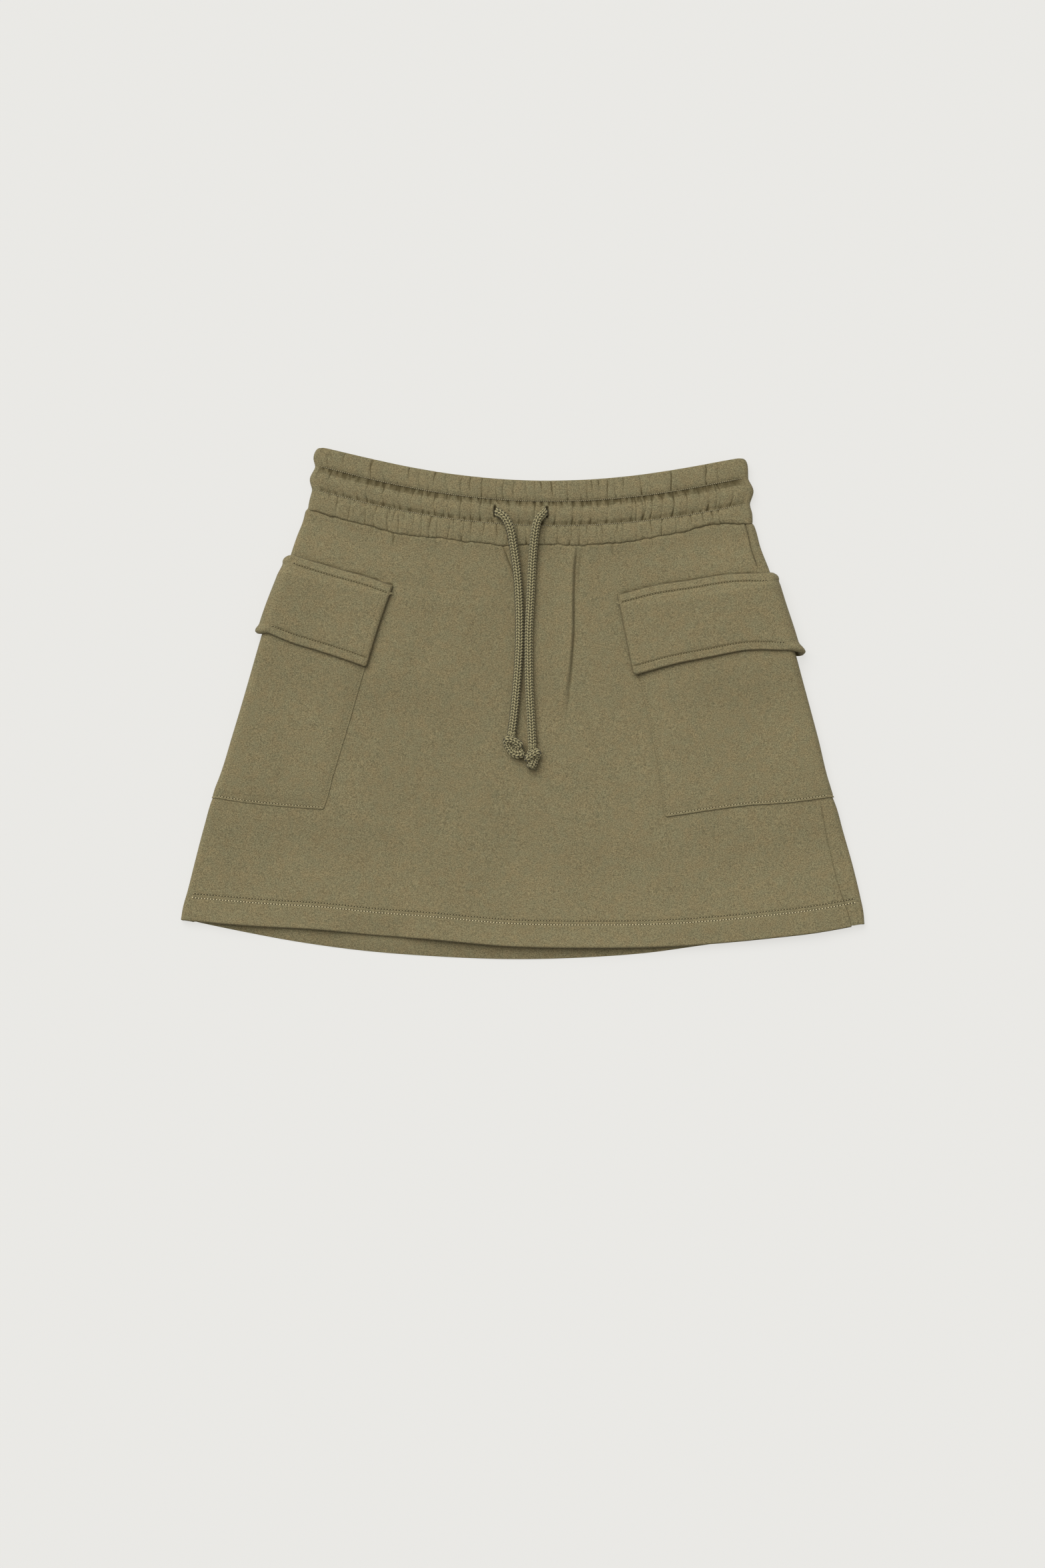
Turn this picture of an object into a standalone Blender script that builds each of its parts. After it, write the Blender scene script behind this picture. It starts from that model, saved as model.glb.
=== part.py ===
"""A cargo utility skirt in heavy sweatshirt cloth, laid flat on its back.

X runs across the skirt, Y up towards its waist and Z up from the surface it lies on. The origin
is under the middle of the skirt, on that surface.

The skirt is a flattened tube. A place on it is given by
    face   "front" or "back", the upper or the lower run, or "left" or "right", a side fold
    along  on a run, the distance from its left end; in a fold, 0 below to 1 above
    row    0 at the waist seam, 1 at the hem fold
and every piece that lies on the tube is made from the tube's own points, moved out.
"""

import math

import bmesh
import bpy
import numpy as np

MM = 0.001

# ---------------------------------------------------------------- cloth

SEAM = 0.3 * MM            # parting between two pieces where they are sewn
CLOTH = 1.6 * MM           # one layer of sweatshirt cloth
HEM_WALL = 3.2 * MM        # cloth with its turned-up hem
BODY_FOLD = 3.4 * MM       # outer radius of the body tube at its side folds
ROW_LENGTH = 325 * MM      # from the waist seam to the hem fold, down the side

# ---------------------------------------------------------------- body tube

# The silhouette of the body, from the waist seam to the hem.
BODY = {
    "row":   (0.0, 0.03, 0.06, 0.125, 0.225, 0.35, 0.54, 0.665, 0.71, 0.77, 0.865, 0.93, 0.965, 1.0),
    "left":  (-172.4, -175.0, -178.9, -185.9, -197.3, -209.6, -227.8, -240.8, -247.2, -253.0,
              -261.2, -266.6, -269.9, -271.9),
    "right": (183.2, 186.0, 188.4, 196.1, 205.2, 216.3, 232.6, 242.9, 248.7, 254.2,
              263.0, 268.1, 270.5, 271.5),
}
LEFT_Y = (153.0 * MM, -172.1 * MM)     # the left fold's ends, at the waist seam and at the hem
RIGHT_Y = (143.4 * MM, -174.2 * MM)
SIDE_DROP = (1.0 * MM, 2.7 * MM)       # the hem hangs this much lower at the left and right folds
SIDE_DROP_START = 0.7                  # from this row on
SAG = (23.3 * MM, 21.2 * MM)           # how far the middle of a row hangs below its ends

# Height of the upper face over the lower one, down the middle.
LOFT = {
    "row":    (0.0, 0.06, 0.125, 0.225, 0.35, 0.70, 0.85, 0.935, 1.0),
    "height": (6.8, 6.2, 5.6, 5.1, 4.9, 4.9, 5.4, 7.2, 8.2),
}
LOFT_SLOPE = 45 * MM                   # the side folds' height gives way to the loft over this
HEM_ROWS = (0.933, 0.941)              # the turned-up hem's edge lies between these rows
BACK_LIFT = 1.3 * MM                   # the back leaves the waistband this high
BACK_LIFT_END = 0.06                   # and lies on the floor from this row

# How far the front hem strays from its even curve, across the skirt.
HEM_WAVE = {
    "share": (0.0, 0.12, 0.20, 0.27, 0.36, 0.48, 0.60, 0.72, 0.81, 0.87, 0.93, 1.0),
    "rise":  (0.0, 4.3, 6.8, 6.4, 5.9, 2.4, 0.8, -0.9, -1.2, -1.2, -1.3, 0.0),
}

# How far the back hem hangs below that curve, so that it shows below the front's.
BACK_HEM = {
    "share": (0.0, 0.08, 0.16, 0.25, 0.37, 0.49, 0.60, 0.69, 0.76, 0.82, 0.90, 1.0),
    "drop":  (0.0, 2.6, 5.2, 7.2, 8.2, 8.6, 7.4, 5.5, 2.7, 0.9, 0.3, 0.0),
}

# The long soft fold down the front, right of the drawcord: its line, its height, its section.
FRONT_FOLD = {
    "row":    (0.0, 0.03, 0.12, 0.22, 0.29, 0.35, 0.42),
    "x":      (43.4, 42.0, 40.4, 40.2, 38.3, 35.6, 33.0),
    "height": (0.5, 1.4, 1.7, 1.6, 1.3, 0.8, 0.0),
}
FOLD_SECTION = {
    "across": (-11.0, -3.5, 2.5, 10.0),
    "share":  (0.0, 1.0, -0.35, 0.0),
}

# Where the side seams run, in from the end of the run they lie on.
SIDE_SEAM = {
    "row":   (0.0, 0.125, 0.35, 0.70, 0.80, 0.90, 0.95, 1.0),
    "left":  (8.0, 8.0, 8.0, 8.0, 8.0, 8.0, 8.0, 8.0),
    "right": (0.8, 0.8, 3.6, 7.9, 10.4, 11.0, 9.2, 6.8),
}

# Every layer has columns at these distances from the side folds, so that layers stay parallel.
LEFT_STOPS = (0.0, 26.0, 52.0, 78.0, 103.0, 116.0, 129.0, 143.0)
RIGHT_STOPS = (0.0, 19.0, 38.0, 57.0, 70.0, 84.0, 97.0)
FOLD_TURNS = (0.2, 0.4, 0.6, 0.8)
BODY_STATIONS = (0.0, 0.03, 0.06, 0.09, 0.125, 0.17, 0.22, 0.28, 0.332, 0.36, 0.40, 0.50, 0.60,
                 0.665, 0.71, 0.77, 0.85, 0.932, 0.942, 1.0)

# ---------------------------------------------------------------- pockets and flaps

# Both wrap a side fold. "edge" is the upright edge on the front, measured from the side fold, and
# "back" the one on the back. "corner" is how far the lower corner points out past that edge.
# "top" and "bottom" are the rows of the level edges, from the upright edge to the side fold.
NEARNESS = (0.0, 0.25, 0.5, 0.75, 1.0)
POCKETS = {
    "side":           ("left", "right"),
    "edge_at_top":    (79.4, 115.5),
    "edge_at_bottom": (80.6, 125.5),
    "corner":         (3.0, 3.2),
    "top":            ((0.170, 0.170, 0.170, 0.170, 0.170), (0.170, 0.170, 0.170, 0.170, 0.170)),
    "bottom":         ((0.6970, 0.7000, 0.7025, 0.7040, 0.7035), (0.6855, 0.6795, 0.6775, 0.6840, 0.6880)),
    "back":           (102.0, 56.0),
}
FLAPS = {
    "side":           ("left", "right"),
    "edge_at_top":    (79.9, 118.0),
    "edge_at_bottom": (80.3, 123.0),
    "corner":         (0.0, 0.0),
    "top":            ((0.1330, 0.1230, 0.1190, 0.1155, 0.1125), (0.1290, 0.1145, 0.1124, 0.1130, 0.1280)),
    "bottom":         ((0.3355, 0.3250, 0.3172, 0.3116, 0.3015), (0.3290, 0.3125, 0.3055, 0.3032, 0.3210)),
    "back":           (102.0, 56.0),
}
CORNER_START = 0.85                                # a corner points out from this share down
POCKET_STATIONS = (0.22, 0.28, 0.332, 0.36, 0.40, 0.50, 0.60, 0.665)
SWELL = {"left": 1.5 * MM, "right": 1.8 * MM}      # a flap stands out from the fold below its seam
FLARE = {"left": 0.4 * MM, "right": 2.6 * MM}      # and that much more at its free edge
FLAP_LIFT = 1.3 * MM                               # its free corner stands off the pocket

# A flap's thickness across its top edge: a ridge over the seam, a dent at the stitching.
FLAP_RIDGE = {
    "in":    (0.0, 2.8, 6.4, 10.0),
    "thick": (2.2, 3.4, 2.2, 2.8),
}
FLAP_MIDS = (0.25, 0.40, 0.55, 0.70)               # stations between the two stitched edges

# Where the body climbs over the pockets and flaps that lie under it, and over how far: the lower
# face more steeply than the upper one, and both most steeply at a pocket's top edge.
BACK_SLOPE, FRONT_SLOPE, TOP_SLOPE = 26 * MM, 40 * MM, 13 * MM
POCKET_ROWS = (0.158, 0.703)
FLAP_ROWS = (0.118, 0.334)
BESIDE_POCKET = 1 * MM                             # the raised part reaches this far past them
LAST_STOP = 4.0                                    # no column nearer than this to an edge, in mm

# ---------------------------------------------------------------- waistband

BAND_WALL = 3.6 * MM       # casing, elastic, casing
BAND_FOLD = 4.1 * MM       # outer radius at its side folds
BAND_FLOOR = 0.6 * MM      # its underside, before the gathers

# The waistband's rows, from the waist seam up to its top shoulder. "sag" is how far a row's middle
# hangs below its ends, and with more "bow" the row hangs less near its ends.
BAND = {
    "left":    (-170.9, -169.3, -167.7, -168.9, -165.2, -166.1, -164.8),
    "left_y":  (153.3, 161.0, 168.5, 177.6, 187.3, 194.0, 202.0),
    "right":   (182.6, 182.0, 180.6, 182.9, 179.2, 178.5, 177.8),
    "right_y": (143.7, 150.2, 157.4, 168.0, 178.0, 186.2, 193.6),
    "sag":     (23.3, 22.8, 22.3, 22.5, 22.8, 22.4, 21.9),
    "bow":     (0.0, 0.0, 0.03, 0.06, 0.09, 0.12, 0.15),
    "puff":    (-0.3, 0.3, -0.4, 0.9, -0.4, 0.4, -0.6),
    "ripple":  (0.45, 0.75, 0.30, 0.80, 0.30, 0.70, 0.25),
}
SHOULDER = 6                                       # the last of those rows
TOP_ROUND = 1.6 * MM                               # the top edge rises this far over it
BAND_LEVELS = 10                                   # points round the waistband's section
RUN_COLUMNS, TURN_COLUMNS = 140, 4                 # columns along a run and round a side fold
COLUMNS_PER_GATHER = 4
GATHER_BREADTH = 0.7                               # below 1, crests are broad and valleys narrow

# Two waves that make the gathers uneven: their height, and their turn and start in radians.
GATHER_WAVES = ((0.22, 0.73, 0.0), (0.15, 1.90, 1.0))
GATHER_MEAN = 0.8

# ---------------------------------------------------------------- drawcord

CORD = 6.2 * MM
CORD_STEP = 5.4 * MM       # spacing of the points along a cord

# Buttonholes in the channel: the middle of each, its size and the depth of its floor.
BUTTONHOLES = {"left": (-20.6 * MM, 152.0 * MM), "right": (17.6 * MM, 151.2 * MM)}
BUTTONHOLE_WIDE, BUTTONHOLE_TALL, BUTTONHOLE_CUT = 9.0 * MM, 11.6 * MM, 8.0 * MM
BUTTONHOLE_FLOOR = 7.9 * MM

# The cord's free ends: x, y and height of its middle line, from the buttonhole to the knot.
DRAWCORDS = {
    "left": ((-22.0, 150.4, 11.6), (-18.3, 149.6, 12.9), (-15.2, 147.4, 13.9), (-12.6, 143.5, 14.3),
             (-10.3, 138.2, 14.1), (-8.7, 131.1, 13.3), (-7.3, 122.3, 11.8), (-5.7, 111.7, 10.5),
             (-4.3, 99.3, 9.7), (-3.4, 86.9, 9.3), (-2.9, 72.8, 8.9), (-2.8, 50.0, 8.5),
             (-4.1, 24.2, 8.4), (-6.8, -6.7, 8.4), (-9.2, -26.0, 8.9)),
    "right": ((19.0, 150.4, 11.6), (16.2, 149.2, 12.6), (13.1, 146.5, 13.8), (11.1, 142.6, 14.3),
              (10.0, 137.3, 14.1), (8.9, 129.3, 13.1), (8.1, 120.5, 11.5), (7.3, 109.9, 10.4),
              (6.6, 95.8, 9.6), (5.9, 81.6, 9.1), (5.1, 67.5, 8.8), (4.5, 49.8, 8.5),
              (4.9, 15.4, 8.4), (6.5, -15.5, 8.4), (7.5, -35.2, 8.9)),
}

# The knots: a tight wrap of cord round the end, a second turn beside it, and the cut tip.
# Each row is the shape's middle, its half sizes across, along and up, and its lean in degrees.
KNOT_SHAPES = {
    "left":  (("wrap", (-8.6, -31.2, 10.6), (6.9, 4.4, 5.1), -22),
              ("turn", (-5.2, -35.6, 10.0), (5.8, 4.2, 4.4), -30),
              ("tip", (-4.9, -40.9, 9.3), (5.8, 4.3, 3.9), 12)),
    "right": (("wrap", (7.5, -40.6, 10.6), (6.0, 4.2, 5.1), -12),
              ("turn", (6.4, -44.8, 10.0), (5.2, 3.9, 4.4), 10),
              ("tip", (6.5, -50.2, 9.3), (6.0, 4.2, 3.9), 10)),
}

# Colour and roughness.
CLOTH_LOOK = ((0.212, 0.181, 0.100, 1.0), 0.92)
CORD_LOOK = ((0.178, 0.160, 0.095, 1.0), 0.80)


# ---------------------------------------------------------------- small tools

def ramp(value, start, end):
    """0 before start, 1 after end, and straight between."""
    return min(1.0, max(0.0, (value - start) / (end - start)))


def ease(value, start, end):
    """As ramp, but smooth at both ends."""
    share = ramp(value, start, end)
    return share * share * (3 - 2 * share)


def blend(ends, share):
    """From the first of two values to the second."""
    return ends[0] + (ends[1] - ends[0]) * share


def read(table, name, row):
    """A table's value in metres at any row, on a smooth curve through the listed ones."""
    rows, values = table["row"], table[name]
    slopes = np.gradient(values, rows)
    index = int(np.clip(np.searchsorted(rows, row) - 1, 0, len(rows) - 2))
    step = rows[index + 1] - rows[index]
    share = ramp(row, rows[index], rows[index + 1])
    rest = 1 - share
    value = values[index] * (1 + 2 * share) * rest ** 2 + values[index + 1] * (3 - 2 * share) * share ** 2
    value += step * share * rest * (slopes[index] * rest - slopes[index + 1] * share)
    return value * MM


def smooth_route(points, step):
    """Points about a step apart on a smooth curve through the given ones."""
    points = [np.array(point) for point in points]
    knots = [2 * points[0] - points[1], *points, 2 * points[-1] - points[-2]]
    fine = []
    for before, start, end, after in zip(knots, knots[1:], knots[2:], knots[3:]):
        for t in np.arange(0, 1, 0.05):
            fine.append(0.5 * (2 * start + (end - before) * t
                               + (2 * before - 5 * start + 4 * end - after) * t ** 2
                               + (3 * start - before - 3 * end + after) * t ** 3))
    fine = np.array([*fine, points[-1]])
    walked = np.concatenate([[0], np.cumsum(np.linalg.norm(np.diff(fine, axis=0), axis=1))])
    places = np.linspace(0, walked[-1], round(walked[-1] / step) + 1)
    return np.stack([np.interp(places, walked, fine[:, axis]) for axis in range(3)], axis=1)


def make_material(name, colour, roughness):
    """A plain matt surface."""
    material = bpy.data.materials.new(name)
    material.use_nodes = True
    surface = material.node_tree.nodes["Principled BSDF"]
    surface.inputs["Base Color"].default_value = colour
    surface.inputs["Roughness"].default_value = roughness
    surface.inputs["Metallic"].default_value = 0.0
    return material


def add_object(name, data, look, collection):
    """An object for this data, with its own material, in its collection."""
    made = bpy.data.objects.new(name, data)
    collection.objects.link(made)
    data.materials.append(make_material(name, *look))
    return made


def make_cutter(name, cutters):
    """The active object, kept out of the result: it only shapes another one."""
    cutter = bpy.context.object
    cutter.name = name
    cutter.users_collection[0].objects.unlink(cutter)
    cutters.objects.link(cutter)
    cutter.hide_render = True
    cutter.display_type = "WIRE"
    return cutter


def combine(target, cutter, operation):
    """Adds a boolean modifier."""
    modifier = target.modifiers.new(cutter.name, "BOOLEAN")
    modifier.operation = operation
    modifier.object = cutter


# ---------------------------------------------------------------- the flattened tube

def tube_point(face, along, ends, sag, low, high, fold, out):
    """A point of a flattened tube, moved out of its surface by out.

    ends are the (x, y) of the silhouette on the left and right. low and high give the height of
    the lower and upper face at a distance from each side fold. sag gives the row's drop in its
    middle for a share of its length.
    """
    (left_x, left_y), (right_x, right_y) = ends
    length = right_x - left_x - 2 * fold
    if face in ("left", "right"):
        sign, x, y, away = (-1, left_x + fold, left_y, 0.0)
        if face == "right":
            sign, x, y, away = (1, right_x - fold, right_y, length)
        turn = (along - 0.5) * math.pi
        middle = low(away, length - away) + fold
        return x + sign * (fold + out) * math.cos(turn), y, middle + (fold + out) * math.sin(turn)
    share = along / length
    x = left_x + fold + along
    y = blend((left_y, right_y), share) - sag(share) * 4 * share * (1 - share)
    if face == "back":
        return x, y, low(along, length - along) - out
    return x, y, high(along, length - along) + out


def pocket_cover(row, slope):
    """1 on the rows that a pocket covers, falling off above its top and below its bottom."""
    top, bottom = POCKET_ROWS
    above = ramp(row, top - TOP_SLOPE / ROW_LENGTH, top)
    return above * (1 - ease(row, bottom, bottom + slope / ROW_LENGTH))


def flap_cover(row, slope):
    """The same for a flap."""
    top, bottom = FLAP_ROWS
    soft = slope / ROW_LENGTH
    return ease(row, top - soft, top) * (1 - ease(row, bottom, bottom + soft))


def lift_over_pockets(row, from_left, from_right, slope):
    """How far the pockets and flaps under the back raise the body here."""
    layers = flap_cover(row, slope) * (FLAP_RIDGE["thick"][-1] * MM + SEAM)
    layers += pocket_cover(row, slope) * (CLOTH + SEAM)
    left_reach, right_reach = (reach * MM + BESIDE_POCKET for reach in POCKETS["back"])
    beside = max(1 - ease(from_left, left_reach, left_reach + slope),
                 1 - ease(from_right, right_reach, right_reach + slope))
    return layers * beside


def body_ends(row):
    """The silhouette of the body on both sides of a row."""
    return (read(BODY, "left", row), blend(LEFT_Y, row)), (read(BODY, "right", row), blend(RIGHT_Y, row))


def body_length(row):
    """The length of a run, between the side folds."""
    (left, _), (right, _) = body_ends(row)
    return right - left - 2 * BODY_FOLD


def front_fold_rise(row, x):
    """The height of the long soft fold at this place."""
    if row >= FRONT_FOLD["row"][-1]:
        return 0.0
    across = (x - read(FRONT_FOLD, "x", row)) / MM
    share = np.interp(across, FOLD_SECTION["across"], FOLD_SECTION["share"])
    return read(FRONT_FOLD, "height", row) * float(share)


def body_point(face, along, row, out):
    """A point of the body, moved out of its surface by out. Nothing reaches below the floor."""
    ends = body_ends(row)
    share_of_drop = ease(row, SIDE_DROP_START, 1.0)
    ends = [(x, y - drop * share_of_drop) for (x, y), drop in zip(ends, SIDE_DROP)]
    lift = BACK_LIFT * (1 - ramp(row, 0.0, BACK_LIFT_END)) ** 2

    def low(from_left, from_right):
        return lift + lift_over_pockets(row, from_left, from_right, BACK_SLOPE)

    def high(from_left, from_right):
        side = 2 * BODY_FOLD
        inward = ease(min(from_left, from_right), 0.0, LOFT_SLOPE)
        loft = side + (read(LOFT, "height", row) - side) * inward
        rise = front_fold_rise(row, ends[0][0] + BODY_FOLD + from_left)
        return lift + lift_over_pockets(row, from_left, from_right, FRONT_SLOPE) + loft + rise

    def back_sag(share):
        drop = float(np.interp(share, BACK_HEM["share"], BACK_HEM["drop"])) * MM
        return blend(SAG, row) + drop * row ** 3 / max(0.08, 4 * share * (1 - share))

    def front_sag(share):
        wave = float(np.interp(share, HEM_WAVE["share"], HEM_WAVE["rise"])) * MM
        return blend(SAG, row) - wave * ease(row, 0.5, 1.0) / max(0.08, 4 * share * (1 - share))

    sag = back_sag if face == "back" else front_sag
    x, y, z = tube_point(face, along, ends, sag, low, high, BODY_FOLD, out)
    return x, y, max(z, 0.0)


# ---------------------------------------------------------------- columns
#
# A column is a face and a function that gives, for a row, the place along that face. Every piece
# goes round the tube the same way: up the left fold, right along the front, down the right fold
# and left along the back.

def off_left(distances):
    """Places at fixed distances from the left fold."""
    return [lambda row, away=distance * MM: away for distance in distances]


def off_right(distances):
    """Places at fixed distances from the right fold."""
    return [lambda row, away=distance * MM: body_length(row) - away for distance in distances]


def spread(start, end, count):
    """Places evenly between two others."""
    shares = [number / (count + 1) for number in range(1, count + 1)]
    return [lambda row, share=share: blend((start(row), end(row)), share) for share in shares]


def on_front_fold():
    """Places on the long soft fold, across its section."""
    def place(row, across):
        left = body_ends(row)[0][0] + BODY_FOLD
        return read(FRONT_FOLD, "x", min(row, FRONT_FOLD["row"][-1])) - left + across

    return [lambda row, across=across * MM: place(row, across) for across in FOLD_SECTION["across"]]


def on(face, places):
    """Columns of one face."""
    return [(face, place) for place in places]


def round_fold(side):
    """Columns round a side fold, between the two runs."""
    turns = FOLD_TURNS if side == "left" else FOLD_TURNS[::-1]
    return on(side, [lambda row, turn=turn: turn for turn in turns])


def wall(name, columns, rows, place, collection):
    """A cloth wall: a grid for its outer face, extruded once for its inner face.

    place(face, along, row, inner) gives a point; along is the column's function of the row.
    """
    sheet = bmesh.new()
    bmesh.ops.create_grid(sheet, x_segments=len(columns) - 1, y_segments=len(rows) - 1, size=0.5)
    bmesh.ops.triangulate(sheet, faces=sheet.faces[:], quad_method="FIXED")
    made = bmesh.ops.extrude_face_region(sheet, geom=sheet.faces[:], use_keep_orig=True)
    inner = {item for item in made["geom"] if isinstance(item, bmesh.types.BMVert)}
    for vertex in sheet.verts:
        face, along = columns[round((vertex.co.x + 0.5) * (len(columns) - 1))]
        row = rows[round((0.5 - vertex.co.y) * (len(rows) - 1))]
        vertex.co = place(face, along, row, vertex in inner)
    bmesh.ops.recalc_face_normals(sheet, faces=sheet.faces[:])
    mesh = bpy.data.meshes.new(name)
    sheet.to_mesh(mesh)
    sheet.free()
    mesh.shade_smooth()
    mesh.set_sharp_from_angle(angle=math.radians(50))
    add_object(name, mesh, CLOTH_LOOK, collection)


# ---------------------------------------------------------------- panels

def panel_place(face, along, row, inner):
    """A point of a panel: one layer of cloth, and two where the hem is turned up."""
    thick = blend((CLOTH, HEM_WALL), ramp(row, *HEM_ROWS))
    return body_point(face, along(row), row, -thick if inner else 0.0)


def build_panels(collection):
    """The front and the back, which meet at the side seams.

    The left seam has rolled round to the back, and the right one shows on the front.
    """
    def seam_left(row):
        return read(SIDE_SEAM, "left", row)

    def seam_right(row):
        return body_length(row) - read(SIDE_SEAM, "right", row)

    last_left, last_right = off_left(LEFT_STOPS)[-1], off_right(RIGHT_STOPS)[-1]
    fold = on_front_fold()
    front = on("back", [lambda row: seam_left(row) - SEAM, off_left((0.0,))[0]])
    front += round_fold("left")
    front += on("front", off_left(LEFT_STOPS) + spread(last_left, fold[0], 4) + fold)
    front += on("front", spread(fold[-1], last_right, 4) + off_right(RIGHT_STOPS[:0:-1]))
    front += on("front", [lambda row: seam_right(row) - SEAM])
    wall("front_panel", front, BODY_STATIONS, panel_place, collection)

    back = on("front", [seam_right, off_right((0.0,))[0]])
    back += round_fold("right")
    back += on("back", off_right(RIGHT_STOPS) + spread(last_right, last_left, 6))
    back += on("back", off_left(LEFT_STOPS[:0:-1]) + [seam_left])
    wall("back_panel", back, BODY_STATIONS, panel_place, collection)


# ---------------------------------------------------------------- pockets and flaps

def wrapping_columns(sizes, number):
    """Columns of a piece that wraps a side fold."""
    side, back = sizes["side"][number], sizes["back"][number]
    top, bottom = sizes["edge_at_top"][number], sizes["edge_at_bottom"][number]
    first, last = sizes["top"][number][0], sizes["bottom"][number][0]
    stops = LEFT_STOPS if side == "left" else RIGHT_STOPS
    on_front = [stop for stop in stops if stop < min(top, bottom) - LAST_STOP]
    on_back = [stop for stop in stops if stop < back - LAST_STOP]

    def edge(row):
        share = ramp(row, first, last)
        reach = (blend((top, bottom), share) + sizes["corner"][number] * ramp(share, CORNER_START, 1.0)) * MM
        return reach if side == "left" else body_length(row) - reach

    if side == "left":
        columns = on("back", off_left([back] + on_back[::-1])) + round_fold("left")
        return columns + on("front", off_left(on_front) + [edge])
    columns = on("front", [edge] + off_right(on_front[::-1])) + round_fold("right")
    return columns + on("back", off_right(on_back + [back]))


def fold_nearness(sizes, number, face, along, row):
    """1 at the side fold, 0 at the piece's upright edge on either face."""
    if face in ("left", "right"):
        return 1.0
    reach = sizes["edge_at_top" if face == "front" else "back"][number] * MM
    away = along(row) if sizes["side"][number] == "left" else body_length(row) - along(row)
    return 1 - ramp(away, 0.0, reach)


def build_pocket(number, collection):
    """A patch pocket, lying on the panels round a side fold."""
    bottom = POCKETS["bottom"][number]
    rows = (POCKETS["top"][number][0], *POCKET_STATIONS, "bottom")

    def place(face, along, row, inner):
        if row == "bottom":
            near = fold_nearness(POCKETS, number, face, along, bottom[0])
            row = float(np.interp(near, NEARNESS, bottom))
        return body_point(face, along(row), row, SEAM + (0.0 if inner else CLOTH))

    name = f"pocket_{POCKETS['side'][number]}"
    wall(name, wrapping_columns(POCKETS, number), rows, place, collection)


def build_flap(number, collection):
    """A flap of double cloth, sewn on above the pocket and hanging over it."""
    side, top, bottom = (FLAPS[name][number] for name in ("side", "top", "bottom"))
    height = (bottom[0] - top[0]) * ROW_LENGTH
    ridge = [width * MM for width in FLAP_RIDGE["in"]]
    downs = ridge + [height * share for share in FLAP_MIDS] + [height - width for width in ridge[::-1]]

    def thick(down):
        return float(np.interp(min(down, height - down), ridge, FLAP_RIDGE["thick"])) * MM

    def place(face, along, down, inner):
        near = fold_nearness(FLAPS, number, face, along, top[0])
        ends = (float(np.interp(near, NEARNESS, edge)) for edge in (top, bottom))
        share = down / height
        row = blend(tuple(ends), share)
        out = SEAM + pocket_cover(row, BACK_SLOPE) * (CLOTH + SEAM)
        if face == side:
            stand = SWELL[side] * ease(share, 0.1, 0.9) + FLARE[side] * ease(share, 0.86, 1.0)
            out += stand * math.sin(math.pi * along(row)) ** 2
        if face == "front":
            out += FLAP_LIFT * ease(share, 0.35, 1.0) * ease(1 - near, 0.25, 1.0)
        return body_point(face, along(row), row, out + (0.0 if inner else thick(down)))

    wall(f"flap_{side}", wrapping_columns(FLAPS, number), downs, place, collection)


# ---------------------------------------------------------------- waistband

def band_columns():
    """The waistband's columns as faces and shares of them, once round the ring."""
    runs = [number / RUN_COLUMNS for number in range(RUN_COLUMNS)]
    turns = [number / TURN_COLUMNS for number in range(TURN_COLUMNS)]
    return ([("front", share) for share in runs] + [("right", 1 - share) for share in turns]
            + [("back", 1 - share) for share in runs] + [("left", share) for share in turns])


def gather(number):
    """The height of the gathers at a column, as a share of their full height."""
    height = GATHER_MEAN + sum(wave * math.sin(number * turn + start) for wave, turn, start in GATHER_WAVES)
    return height * abs(math.sin(math.pi * number / COLUMNS_PER_GATHER)) ** GATHER_BREADTH


def band_point(number, face, share, level):
    """A point of the waistband.

    Levels up to the shoulder climb its outer face. The next is its top edge, and the last two go
    down inside it.
    """
    row = level if level <= SHOULDER else {1: SHOULDER, 2: SHOULDER, 3: 0}[level - SHOULDER]
    size = {name: values[row] * MM for name, values in BAND.items()}
    ends = (size["left"], size["left_y"]), (size["right"], size["right_y"])
    length = size["right"] - size["left"] - 2 * BAND_FOLD
    along = share * length if face in ("front", "back") else share
    out, up = -BAND_WALL, 0.0
    if level <= SHOULDER:
        out = size["puff"] + size["ripple"] * gather(number)
    elif level == SHOULDER + 1:
        out, up = -BAND_WALL / 2, TOP_ROUND
    if face == "back":
        out = min(out, BAND_FLOOR)

    def sag(share):
        return size["sag"] * (4 * share * (1 - share)) ** BAND["bow"][row]

    x, y, z = tube_point(face, along, ends, sag, lambda left, right: BAND_FLOOR,
                         lambda left, right: BAND_FLOOR + 2 * BAND_FOLD, BAND_FOLD, out)
    return x, y + up, max(z, 0.0)


def build_waistband(collection, cutters):
    """The elastic waistband: a ring, gathered all round, with two buttonholes in its front."""
    columns = band_columns()
    ring = bmesh.new()
    bmesh.ops.create_grid(ring, x_segments=len(columns), y_segments=BAND_LEVELS, size=0.5)
    for vertex in ring.verts:
        number = round((vertex.co.x + 0.5) * len(columns)) % len(columns)
        level = round((vertex.co.y + 0.5) * BAND_LEVELS) % BAND_LEVELS
        vertex.co = band_point(number, *columns[number], level)
    bmesh.ops.remove_doubles(ring, verts=ring.verts[:], dist=0.001 * MM)
    bmesh.ops.recalc_face_normals(ring, faces=ring.faces[:])
    mesh = bpy.data.meshes.new("waistband")
    ring.to_mesh(mesh)
    ring.free()
    mesh.shade_smooth()
    band = add_object("waistband", mesh, CLOTH_LOOK, collection)
    size = (BUTTONHOLE_WIDE, BUTTONHOLE_TALL, BUTTONHOLE_CUT)
    for side, (x, y) in BUTTONHOLES.items():
        middle = (x, y, BUTTONHOLE_FLOOR + BUTTONHOLE_CUT / 2)
        bpy.ops.mesh.primitive_cube_add(size=1.0, location=middle, scale=size)
        combine(band, make_cutter(f"buttonhole_{side}", cutters), "DIFFERENCE")


# ---------------------------------------------------------------- drawcord

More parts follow.
